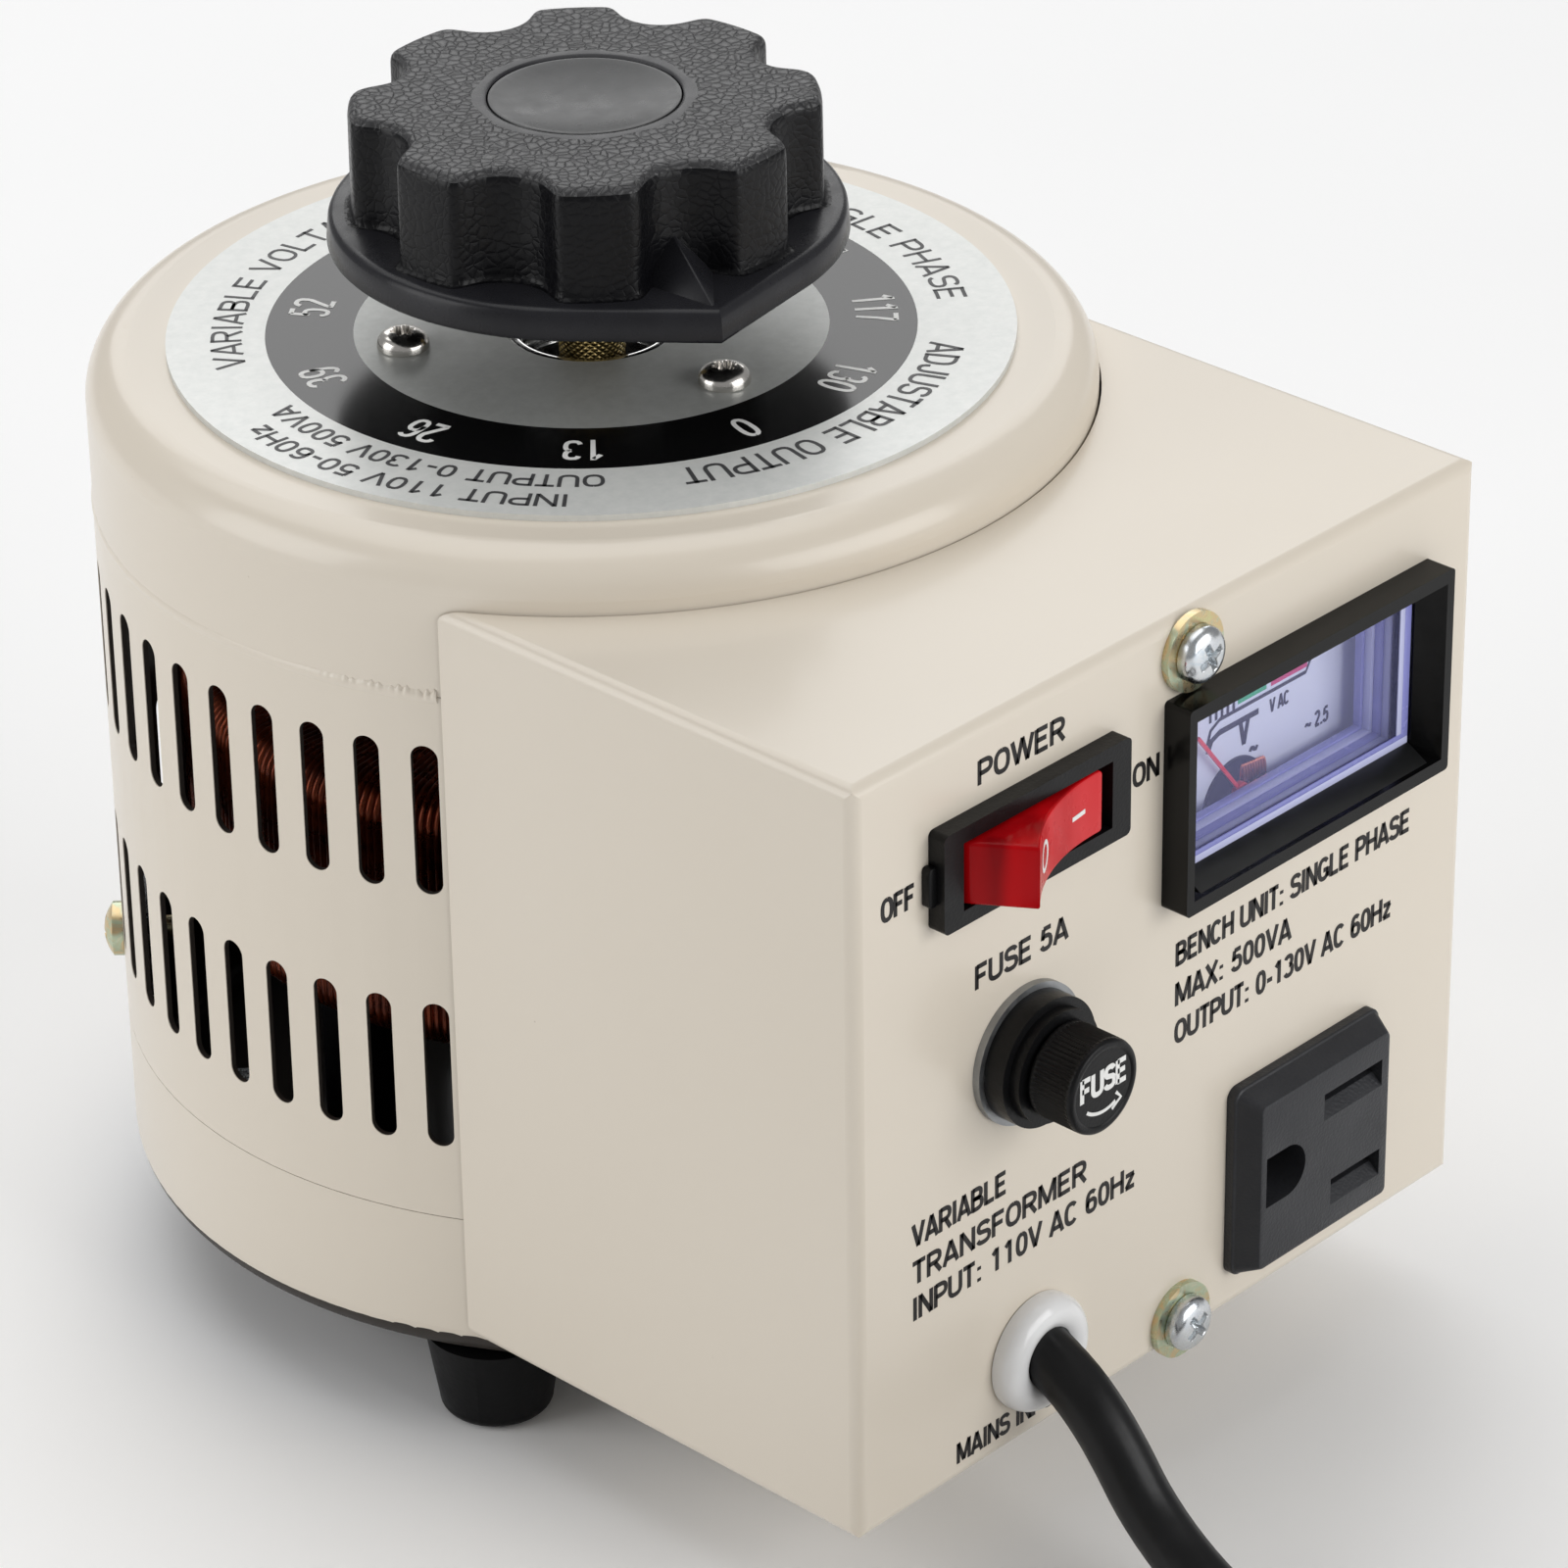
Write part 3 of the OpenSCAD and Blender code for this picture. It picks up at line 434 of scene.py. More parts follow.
def passivated(name, colours, rough):
    """Zinc plate with the yellow-green-pink bloom of its passivation."""
    n = Nodes(name, colours[0], rough, Metallic=1.0)
    stops = [(0.25 + 0.5 * i / (len(colours) - 1), c) for i, c in enumerate(colours)]
    n.link(n.ramp(n.noise(260, 3, 0.6, dist=1.5), stops), "Base Color")
    n.gloss(rough - 0.08, rough + 0.12, 700, 3)
    n.bump(n.noise(1300, 3), 0.12, 0.04)
    return n.mat


def copper_wire():
    """Enamelled copper: red-brown lacquer over metal, each stretch a little different."""
    n = Nodes("winding_copper", (0.2, 0.045, 0.018), 0.3, Metallic=0.9, Coat_Weight=0.3,
              Coat_Roughness=0.12)
    n.tint((0.3, 0.055, 0.016), (0.09, 0.016, 0.007), 240, 3)
    n.gloss(0.22, 0.4, 500, 2)
    n.bump(n.noise(1500, 2), 0.1, 0.04)
    return n.mat


DIAL_SPAN = 60  # the dial's print is worked out as far as this, in mm
BLACK_R0, BLACK_R1 = 29.75, 40.75


def dial_print():
    """Anodised plate: silver rim, black ring and grey middle, by distance from the axis."""
    n = Nodes("dial_plate_print", (0.7, 0.7, 0.69), 0.32)
    rad = n.spread(n.from_axis(), 0, 1, 0, DIAL_SPAN * MM)
    brushed = n.noise(700, 4, 0.6)
    rim = n.blend(brushed, srgb(212, 214, 211), srgb(222, 223, 220))
    mid = n.blend(brushed, srgb(172, 174, 171), srgb(184, 186, 183))
    black = n.ramp(rad, [(0.0, 0.0), (BLACK_R0 / DIAL_SPAN, 1.0), (BLACK_R1 / DIAL_SPAN, 0.0)], "CONSTANT")
    outside = n.ramp(rad, [(0.0, 0.0), ((BLACK_R0 + BLACK_R1) / 2 / DIAL_SPAN, 1.0)], "CONSTANT")
    col = n.mix(outside, mid, rim)
    n.link(n.mix(black, col, (0.0035, 0.0035, 0.0037)), "Base Color")
    n.link(n.spread(black, 0.36, 0.16), "Roughness")
    n.link(n.spread(black, 0.25, 0.0), "Metallic")
    n.bump(n.noise(1600, 2), 0.06, 0.03)
    n.bump(black, 0.4, 0.04)
    return n.mat


def glass(name, colour, alpha, rough=0.03):
    """A clear, tinted sheet or tube."""
    n = Nodes(name, colour, rough, Alpha=alpha, Coat_Weight=1.0, Coat_Roughness=0.02)
    n.gloss(rough, rough + 0.05, 40, 3)
    n.bump(n.noise(150, 2), 0.03, 0.1)
    return n.mat


def rocker_plastic(name, low, high, rough):
    """Ruby plastic; the dark and light patches stand for the ribs seen through it."""
    n = Nodes(name, high, rough, Specular_IOR_Level=0.12)
    ribs = n.noise(160, 2, 0.4, space=n.space((1.2, 1.2, 0.25)))
    n.link(n.blend(ribs, low, high, 0.35, 0.65), "Base Color")
    n.gloss(rough - 0.06, rough + 0.08, 420, 3)
    n.bump(n.noise(900, 2), 0.06, 0.05)
    return n.mat


KNURL_FROM = 0.118  # metres, the knurl's lower end
KNURL_TURN, KNURL_RISE = 13.0, 3900.0  # the pattern's phase per radian round, and per metre up


def knurled_brass():
    """Turned brass with a diamond knurl on its upper end."""
    n = Nodes("shaft_brass", (0.48, 0.36, 0.16), 0.32, Metallic=1.0)
    sep = n.add("ShaderNodeSeparateXYZ", {0: n.space((1, 1, 1), (0, -AY * MM, 0))})
    ang = n.math("ARCTAN2", sep.outputs[1], sep.outputs[0])
    up_z = n.math("MULTIPLY", sep.outputs[2], KNURL_RISE)
    turn = n.math("MULTIPLY", ang, KNURL_TURN)
    a = n.math("ABSOLUTE", n.math("SINE", n.math("ADD", turn, up_z)))
    b = n.math("ABSOLUTE", n.math("SINE", n.math("SUBTRACT", turn, up_z)))
    zone = n.math("GREATER_THAN", sep.outputs[2], KNURL_FROM)
    knurl = n.math("MULTIPLY", n.math("MINIMUM", a, b), zone)
    n.bump(knurl, 0.9, 0.3)
    bright = n.blend(n.noise(500, 3), (0.6, 0.46, 0.2), (0.38, 0.28, 0.11))
    groove = n.math("MULTIPLY", zone, n.spread(n.math("MINIMUM", a, b), 0.85, 0.0, 0.1, 0.45))
    n.link(n.mix(groove, bright, (0.1, 0.075, 0.025)), "Base Color")
    n.gloss(0.24, 0.42, 900, 2)
    return n.mat


ENAMEL = enamel()
# painted light: the knob is one black plastic, its top given a lighter black as if lit from above and its
# lobes' sides a darker, shaded black
KNOB_LIT_TOP = leather_plastic("knob_lit_top", (0.024, 0.024, 0.026), 0.38, 0.7, 0.55)
KNOB_SHADED_SIDE = leather_plastic("knob_shaded_side", (0.0035, 0.0035, 0.0045), 0.28, 0.2, 0.2)
KNOB_SMOOTH = plastic("knob_satin", (0.015, 0.015, 0.018), 0.28, 0.05, 1500, 0.04, shine=0.25)
CAP_GREY = plastic("knob_cap_satin", (0.008, 0.0088, 0.0096), 0.3, 0.05, 1600, 0.03, shine=0.4)
BLACK_FINE = plastic("black_fine_grain", (0.004, 0.004, 0.0045), 0.34, 0.25, 2200, 0.06, shine=0.2)
OUTLET_GREY = plastic("outlet_charcoal", (0.03, 0.031, 0.035), 0.42, 0.5, 2400, 0.08, shine=0.3)
SILL_BLACK = plastic("bezel_sill", (0.006, 0.0065, 0.0065), 0.38, shine=0.75)
CORD_PVC = plastic("cord_pvc", (0.008, 0.008, 0.0085), 0.34, 0.12, 700, 0.08, shine=0.25)
NYLON = plastic("white_nylon", (0.8, 0.8, 0.8), 0.2, coat=0.3, tint=0.03, shine=0.5)
BUSH_CHROME = metal("bush_chrome", (0.96, 0.96, 0.95), 0.07, scratch=0.04)
SCALE_WHITE = plastic("scale_card", (0.74, 0.77, 0.9), 0.5, tint=0.03)
INK = plastic("panel_ink", (0.012, 0.01, 0.01), 0.4, tint=0.05)
WHITE_INK = plastic("white_ink", (0.8, 0.8, 0.78), 0.4, tint=0.04)
DIAL_INK = plastic("dial_ink", (0.05, 0.05, 0.052), 0.4, tint=0.05)
GREEN_INK = plastic("scale_green", (0.02, 0.42, 0.16), 0.4, tint=0.05)
PINK_INK = plastic("scale_magenta", (0.62, 0.03, 0.14), 0.4, tint=0.05)
ZINC = passivated("zinc_bright", [(0.62, 0.66, 0.72), (0.72, 0.74, 0.75), (0.5, 0.58, 0.66)], 0.24)
YELLOW_ZINC = passivated("zinc_yellow", [(0.62, 0.6, 0.32), (0.68, 0.52, 0.3), (0.5, 0.58, 0.42),
                                         (0.72, 0.66, 0.5)], 0.3)
NICKEL = metal("nickel_bright", (0.8, 0.77, 0.73), 0.2)
COPPER = copper_wire()
BRIGHT_COPPER = metal("meter_coil_copper", (0.8, 0.32, 0.2), 0.3)
# painted light: opaque pale and violet plastic standing in for light glowing in the clear cover's edges and
# steps
PAINTED_LIGHT_TINT = plastic("ledge_painted_light_tint", (0.26, 0.27, 0.62), 0.25, coat=0.3, tint=0.03)
PAINTED_LIGHT_PALE = plastic("ledge_painted_light_pale", (0.55, 0.57, 0.82), 0.2, coat=0.3, tint=0.03)
RUBY = rocker_plastic("rocker_ruby", (0.26, 0.0005, 0.003), (0.55, 0.002, 0.005), 0.16)
# the frosted front's lighter red is partly real frosting and partly painted light on its lit face
RUBY_FROST_LIT = rocker_plastic("rocker_frosted_lit", (0.5, 0.012, 0.016), (0.62, 0.035, 0.04), 0.3)

# what each CAD node is made of
FINISHES = (
    (ENAMEL, "base_pan drum_shell top_cover control_box"),
    (plastic("foot_rubber", (0.0035, 0.0035, 0.004), 0.42, 0.2, 1300, 0.08, shine=0.12), "feet"),
    (ZINC, "foot_screws side_brackets hub_screws clamp_nut box_brackets box_screws shaft_collar"),
    (YELLOW_ZINC, "side_screws box_washers"),
    (dial_print(), "dial_plate"),
    (NICKEL, "dial_screws switch_terminals fuse_terminals brush_spring fuse_ends"),
    (BUSH_CHROME, "shaft_bush"),
    (metal("cast_hub", (0.07, 0.07, 0.075), 0.6, scale=120), "core_hub"),
    (metal("core_strip", (0.2, 0.21, 0.23), 0.45, streak=0.02), "core"),
    (plastic("pressboard", (0.2, 0.12, 0.05), 0.7, 0.3, 500, 0.1, tint=0.3), "core_insulators clamp_disc"),
    (COPPER, "winding"),
    (metal("bearing_bronze", (0.45, 0.29, 0.14), 0.42), "shaft_bearings"),
    (plastic("laminate_board", (0.09, 0.045, 0.02), 0.5, 0.2, 600, 0.1, tint=0.3), "terminal_board"),
    (metal("brass", (0.62, 0.45, 0.18), 0.28),
     "terminal_screws outlet_contacts plug_blades brush_holder fuse_clip"),
    (BLACK_FINE, "switch_frame meter_movement fuse_body fuse_nut coil_tie fuse_cap"),
    (plastic("bezel_gloss", (0.002, 0.002, 0.002), 0.2, shine=0.2), "meter_bezel meter_case"),
    (glass("meter_window_tint", (0.5, 0.52, 1.0), 0.1), "meter_window"),
    (SCALE_WHITE, "meter_scale"),
    (OUTLET_GREY, "outlet_body"),
    (metal("grey_washer", (0.36, 0.37, 0.38), 0.42), "fuse_washer"),
    (NYLON, "cord_grommet"),
    (CORD_PVC, "wiring cord_lead cord_coil cord_tail plug"),
    (knurled_brass(), "shaft"),
    (KNOB_LIT_TOP, "knob"),
    (CAP_GREY, "knob_cap"),
    (metal("dark_steel", (0.16, 0.16, 0.17), 0.4), "set_screw"),
    (metal("brush_arm_alloy", (0.62, 0.63, 0.65), 0.42, scale=150), "brush_arm"),
    (plastic("brush_graphite", (0.03, 0.03, 0.032), 0.55, 0.3, 1800, 0.06), "carbon_brush"),
    (RUBY, "rocker"),
    (plastic("needle_red", (0.75, 0.02, 0.015), 0.3, coat=0.3, tint=0.05), "meter_needle"),
    (glass("fuse_tube_glass", (0.85, 0.92, 0.95), 0.25), "fuse_glass"),
)
finish = {node: mat for mat, nodes in FINISHES for node in nodes.split()}
for node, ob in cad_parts.items():
    for s in ob.material_slots:
        s.material = finish[node]

# ---- mains cord

CORD_R = 3.8
COIL = Vector((-33, -192, 0))
lead = [
    (-25.2, -73, 29.7), (-25.2, -76, 28.6), (-25.2, -80.5, 26.2), (-25.2, -84.5, 22.9),
    (-25.2, -88, 18.9), (-25.3, -91.5, 14.6), (-25.4, -96, 10.6), (-25.6, -101.5, 7.3),
    (-25.8, -107.5, 5), (-26, -113.5, 4), (-25.4, -121, 3.8), (-23, -130.5, 3.8),
    (-18.4, -139.5, 3.8), (-12, -147.5, 3.8), (-4.8, -154.6, 3.8), (1.8, -162, 3.8),
    (7.2, -170.6, 3.8), (10.6, -180.6, 3.8)]


def ease(t, a, b):
    t = min(1, max(0, (t - a) / (b - a)))
    return t * t * (3 - 2 * t)


# the coil: an outer turn, in, up a layer, and out again
TURNS = 3.5
PER_TURN = 30
OUTER_R = 44.8
STEP = 2 * CORD_R
coil_pts = []
for i in range(int(TURNS * PER_TURN) + 1):
    t = i / PER_TURN
    r = OUTER_R - STEP * ease(t, 0.8, 1.0) + STEP * ease(t, 2.8, 3.0)
    z = CORD_R + STEP * ease(t, 1.8, 2.0)
    a = -2 * pi * t
    coil_pts.append(COIL + Vector((r * cos(a), r * sin(a), z)))
tail = [(-77.7, -182.5, 11.3), (-77.2, -174.5, 11), (-76.4, -166.5, 10.7), (-75.5, -158, 10.5)]
cord_path = smooth_path(lead + coil_pts + tail, 3)
curve = bpy.data.curves.new("mains_cord", "CURVE")
curve.dimensions = "3D"
curve.bevel_depth = CORD_R * MM
curve.bevel_resolution = 5
curve.use_fill_caps = True
spline = curve.splines.new("POLY")
spline.points.add(len(cord_path) - 1)
for q, p in zip(spline.points, cord_path):
    q.co = (*(p * MM), 1)
curve.materials.append(CORD_PVC)
mains_cord = bpy.data.objects.new("mains_cord", curve)
bpy.context.scene.collection.objects.link(mains_cord)
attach(mains_cord, "housing")
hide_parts("cord_lead", "cord_coil", "cord_tail")

# a hook-and-loop strap round the four strands
TIE_OUT, TIE_IN, TIE_W = (16.6, 16.0, 4.2), (15.6, 15.2, 3.9), 10.0
tie_frame = (Matrix.Translation(COIL + Vector((0, 41, 8.05)))
             @ UPRIGHT @ Matrix.Rotation(pi / 2, 4, "Y"))
tie_rows = [[tie_frame @ Vector((x, y, side * TIE_W / 2)) for x, y in rounded_rect(*size)]
            for size, side in ((TIE_OUT, -1), (TIE_OUT, 1), (TIE_IN, 1), (TIE_IN, -1))]
tie = skin("cord_strap", tie_rows, "housing", [BLACK_FINE], 40, closed=True)
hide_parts("coil_tie")

# ---- winding

wind_lo, wind_hi = box_mm("winding")
R_IN, R_OUT = 22.0, wind_hi.x
CORNER_R = 4.6
WIRES, STEPS_PER_WIRE = 300, 4
GAP, GAP_AT = radians(20), radians(-89)  # the gap between the winding's ends, and where it is
GROOVE, SAG = 0.46, 0.16  # how far the surface dips between wires, and wanders along the core
INNER_R = 35  # inside this radius the grooves between the wires are shallower


def winding_profile():
    """Points (r, z) round the winding's section, each with its outward direction."""
    pts = []
    low, high = wind_lo.z + CORNER_R, wind_hi.z - CORNER_R
    inner, outer = R_IN + CORNER_R, R_OUT - CORNER_R
    for cx, cz, a0 in ((outer, low, -90), (outer, high, 0), (inner, high, 90), (inner, low, 180)):
        for i in range(7):
            a = radians(a0 + 15 * i)
            c, s = cos(a), sin(a)
            pts.append((cx + CORNER_R * c, cz + CORNER_R * s, c, s))
    return pts


prof = winding_profile()
rows = []
steps = WIRES * STEPS_PER_WIRE
for i in range(steps + 1):
    u = i / STEPS_PER_WIRE
    a = GAP_AT + GAP / 2 + (2 * pi - GAP) * i / steps
    groove = GROOVE * (abs(sin(pi * (u % 1.0))) ** 0.6 - 1.0)
    sag = SAG * noise.noise(Vector((u * 0.13, 3.1, 0)))
    row = []
    for r, z, out_r, out_z in prof:
        lift = (groove + sag) * (1.0 if r > INNER_R else 0.7)
        row.append(about_axis(r + out_r * lift, a, z + out_z * lift))
    rows.append(row)
winding = skin("winding_turns", rows, "housing", [COPPER], 80, ends=True)
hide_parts("winding")

# ---- knob

NT = 720  # points round each ring
SKIRT_R, TIP_R = 32.5, 37.5
SKIRT_T = 4.2
LOBES = 8
LOBE_R, SCALLOP_R, SCALLOP_D = 29.3, 6.8, 4.7
EDGE = 1.7  # the grip's upper edge is rounded by this much
# the top's material is painted lighter as lit from above, the sides' darker as shaded
LIT_TOP, SHADED_SIDE, SATIN = 0, 1, 2  # the knob's materials
touch = acos(SKIRT_R / TIP_R)


def skirt_r(t):
    """The skirt's outline: a circle with straight sides out to the pointer's tip."""
    t = abs((t + pi) % (2 * pi) - pi)
    return SKIRT_R / cos(touch - t) if t < touch else SKIRT_R


def lobe_raw(t):
    """The grip's outline: a circle with a round scallop between each two lobes."""
    t = (t + pi / LOBES) % (2 * pi / LOBES) - pi / LOBES
    c = LOBE_R - SCALLOP_D + SCALLOP_R
    disc = SCALLOP_R ** 2 - (c * sin(t)) ** 2
    if disc <= 0:
        return LOBE_R
    return min(LOBE_R, c * cos(t) - sqrt(disc))


raw = [lobe_raw(2 * pi * i / NT) for i in range(NT)]
for _ in range(3):
    raw = [sum(raw[(i + k) % NT] for k in range(-2, 3)) / 5 for i in range(NT)]
skirt = [skirt_r(2 * pi * i / NT) for i in range(NT)]
rings = []


def ring(base, z, inset, mat):
    """A ring that lies inset from the outline; mat is for the faces up to it."""
    rings.append(([b - inset for b in base], z, mat))


# underside, from the shaft's bore out to the skirt
for r, z in ((4.25, 13.0), (4.25, 0.3), (4.6, 0.0), (8.8, 0.0), (9.0, 0.2), (9.0, 12.0), (21.5, 12.0),
             (21.5, 0.3), (21.8, 0.0)):
    ring([r] * NT, z, 0.0, SATIN)
for z, inset in ((0.0, 0.9), (0.12, 0.35), (0.45, 0.05), (0.8, 0.0), (3.3, 0.25), (3.75, 0.45),
                 (4.1, 0.9), (SKIRT_T, 1.5)):
    ring(skirt, z, inset, SATIN)
# the lobes
for z, inset, mat in ((SKIRT_T, -0.9, SATIN), (SKIRT_T + 0.12, -0.4, SHADED_SIDE), (SKIRT_T + 0.4, -0.1, SHADED_SIDE),
                      (SKIRT_T + 0.8, 0.0, SHADED_SIDE), (8.0, 0.02, SHADED_SIDE), (12.0, 0.05, SHADED_SIDE),
                      (KNOB_H - EDGE, 0.1, SHADED_SIDE)):
    ring(raw, z, inset, mat)
for k in range(1, 7):
    a = pi / 2 * k / 6
    ring(raw, KNOB_H - EDGE + EDGE * sin(a), 0.1 + EDGE * (1 - cos(a)), SHADED_SIDE if k < 3 else LIT_TOP)
# the top, dished a little, and the well for the cap
for f in (0.2, 0.45, 0.72, 0.93):
    ring([(b - EDGE - 0.1) * (1 - f) + 12.9 * f for b in raw], KNOB_H - 0.22 * sin(pi * f) ** 2, 0.0, LIT_TOP)
for r, z in ((12.75, 0.02), (12.45, -0.02), (12.15, -0.25), (12.1, -2.2)):
    ring([r] * NT, KNOB_H + z, 0.0, SATIN)

knob_frame = on_axis(KNOB_Z)
rows = [polar([0], 13.0, knob_frame)]
rows += [polar(radii, z, knob_frame, POINTER) for radii, z, _ in rings]
rows.append(polar([0], KNOB_H - 2.2, knob_frame))
knob = skin("knob_body", rows, "rotor", [KNOB_LIT_TOP, KNOB_SHADED_SIDE, KNOB_SMOOTH], 32)
bands = [SATIN] + [mat for _, _, mat in rings[1:]] + [SATIN]
knob.data.polygons.foreach_set("material_index", [mat for mat in bands for _ in range(NT)])

# the fin over the pointer
fin_rows = [[(23.2, 5.9, -0.2), (23.2, -5.9, -0.2), (35.7, 0, -0.2)], [(23.2, 0, 5.8)]]
fin = bevelled("pointer_fin", fin_rows, "rotor", [KNOB_SMOOTH],
               on_axis(KNOB_Z + SKIRT_T) @ Matrix.Rotation(POINTER, 4, "Z"), 0.28, 3, 40, clamp=False)
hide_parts("knob")

# the sunk cap, dished
CAP_DISH_R = 11.4
cap_prof = [(0, -1.9), (11.7, -1.9), (12.02, -1.7), (12.02, -0.35), (11.9, -0.18), (11.65, -0.12)]
for k in range(12):
    r = CAP_DISH_R * (1 - k / 12)
    cap_prof.append((r, -1.25 + 1.1 * (r / CAP_DISH_R) ** 2))
cap_prof.append((0, -1.25))
cap = lathe("knob_cap_disc", cap_prof, "rotor", CAP_GREY, on_axis(KNOB_Z + KNOB_H), 96, 30)
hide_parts("knob_cap")

# ---- lettering


def oval(x0, y0, x1, y1, a0=90, a1=450, n=18):
    """Part of a squarish oval in the box, from a0 to a1 degrees."""
    out = []
    for i in range(n + 1):
        a = radians(a0 + (a1 - a0) * i / n)
        c, t = cos(a), sin(a)
        out.append(((x0 + x1) / 2 + (x1 - x0) / 2 * copysign(abs(c) ** 0.8, c),
                    (y0 + y1) / 2 + (y1 - y0) / 2 * copysign(abs(t) ** 0.8, t)))
    return out


# a letter is 1 tall: bottom and top of round strokes, left and right stems
B, T, L, R = 0.07, 0.93, 0.07, 0.5


def bowl(y0, y1, x1=R, x0=0.26):
    """The round stroke on the right of a stem."""
    return [(L, y1)] + oval(2 * x0 - x1, y0, x1, y1, 90, -90, 10) + [(L, y0)]


STEM = [(L, 0), (L, 1)]
# each letter's width and its strokes
GLYPHS = {
    "A": (0.6, [[(0.04, 0), (0.3, 1)], [(0.3, 1), (0.56, 0)], [(0.14, 0.27), (0.46, 0.27)]]),
    "B": (0.57, [STEM, bowl(0.53, T, 0.46), bowl(B, 0.53)]),
    "C": (0.57, [oval(L, B, R, T, 40, 320)]),
    "D": (0.59, [STEM, bowl(B, T, 0.52)]),
    "E": (0.53, [STEM, [(L, T), (0.48, T)], [(L, 0.52), (0.44, 0.52)], [(L, B), (0.49, B)]]),
    "F": (0.5, [STEM, [(L, T), (0.47, T)], [(L, 0.5), (0.42, 0.5)]]),
    "G": (0.6, [oval(L, B, 0.53, T, 40, 340), [(0.3, 0.44), (0.53, 0.44)], [(0.53, 0.5), (0.53, 0.08)]]),
    "H": (0.59, [STEM, [(0.52, 0), (0.52, 1)], [(L, 0.52), (0.52, 0.52)]]),
    "I": (0.2, [[(0.1, 0), (0.1, 1)]]),
    "J": (0.46, [[(0.38, 1)] + oval(0.04, B, 0.38, 0.6, 0, -180, 10)]),
    "L": (0.48, [STEM, [(L, B), (0.46, B)]]),
    "M": (0.73, [STEM, [(0.66, 0), (0.66, 1)], [(0.08, 1), (0.365, 0.06)], [(0.365, 0.06), (0.65, 1)]]),
    "N": (0.6, [STEM, [(0.53, 0), (0.53, 1)], [(0.08, 0.98), (0.52, 0.02)]]),
    "O": (0.61, [oval(L, B, 0.54, T, 90, 449)]),
    "P": (0.55, [STEM, bowl(0.45, T)]),
    "R": (0.58, [STEM, bowl(0.47, T), [(0.3, 0.47), (0.53, 0)]]),
    "S": (0.55, [oval(0.08, 0.52, 0.48, T, 15, 255, 12)[:-1] + [(0.28, 0.52)] +
                 oval(0.05, B, R, 0.52, 75, -165, 12)[1:]]),
    "T": (0.5, [[(0.25, 0), (0.25, 1)], [(0.01, T), (0.49, T)]]),
    "U": (0.59, [[(L, 1)] + oval(L, B, 0.52, 0.6, 180, 360, 10) + [(0.52, 1)]]),
    "V": (0.56, [[(0.04, 1), (0.28, 0.02)], [(0.28, 0.02), (0.52, 1)]]),
    "W": (0.82, [[(0.03, 1), (0.22, 0.02)], [(0.22, 0.02), (0.41, 1)],
                 [(0.41, 1), (0.6, 0.02)], [(0.6, 0.02), (0.79, 1)]]),
    "X": (0.56, [[(0.04, 1), (0.52, 0)], [(0.52, 1), (0.04, 0)]]),
    "z": (0.44, [[(0.04, 0.63), (0.4, 0.63)], [(0.38, 0.62), (0.06, 0.08)], [(0.04, B), (0.41, B)]]),
    "0": (0.5, [oval(L, B, 0.43, T, 90, 449)]),
    "1": (0.5, [[(0.28, 0), (0.28, 1)], [(0.27, 0.96), (0.1, 0.76)]]),
    "2": (0.5, [oval(0.06, 0.5, 0.43, T, 165, -20, 10) + [(0.08, 0.1)], [(0.05, B), (0.45, B)]]),
    "3": (0.5, [oval(0.07, 0.53, 0.4, T, 160, -80, 10), oval(0.05, B, 0.43, 0.53, 80, -160, 10)]),
    "5": (0.5, [[(0.42, T), (0.13, T)], [(0.13, T), (0.09, 0.48)],
                oval(0.04, B, 0.43, 0.62, 145, -160, 12)]),
    "6": (0.5, [oval(L, B, 0.43, 0.58, 90, 449, 14), oval(L, B, 0.45, T, 50, 200, 8)]),
    "7": (0.5, [[(0.05, T), (0.45, T)], [(0.44, T), (0.3, 0.5)], [(0.3, 0.5), (0.2, 0)]]),
    "4": (0.5, [[(0.38, 0), (0.38, 1)], [(0.36, 0.97), (0.05, 0.3)], [(0.03, 0.27), (0.48, 0.27)]]),
    "8": (0.5, [oval(0.1, 0.53, 0.4, T, 90, 449, 14), oval(L, B, 0.43, 0.53, 90, 449, 14)]),
    "9": (0.5, [oval(L, 0.42, 0.43, T, 90, 449, 14), oval(0.05, B, 0.43, T, 20, -130, 8)]),
    "-": (0.34, [[(0.04, 0.38), (0.3, 0.38)]]),
    ":": (0.26, [[(0.13, 0), (0.13, 0.14)], [(0.13, 0.5), (0.13, 0.64)]]),
    ".": (0.22, [[(0.11, 0), (0.11, 0.14)]]),
    "~": (0.6, [[(0.05, 0.34), (0.15, 0.5), (0.27, 0.46), (0.35, 0.36), (0.47, 0.32), (0.56, 0.48)]]),
    " ": (0.26, []),
}
LETTER_GAP = 0.05


def ribbon(pts, width, place, thick, closed=False):
    """Rows of four points: the section of a flat stroke along 2-D points, laid by place(u, v, lift)."""
    rows = []
    last = len(pts) - 1
    for i, (x, y) in enumerate(pts):
        a = pts[i - 1] if closed or i else pts[0]
        b = pts[(i + 1) % len(pts)] if closed or i < last else pts[-1]
        d = Vector((b[0] - a[0], b[1] - a[1])).normalized() * width / 2
        left, right = (x - d.y, y + d.x), (x + d.y, y - d.x)
        rows.append([place(*left, 0.0), place(*left, thick), place(*right, thick), place(*right, 0.0)])
    return rows


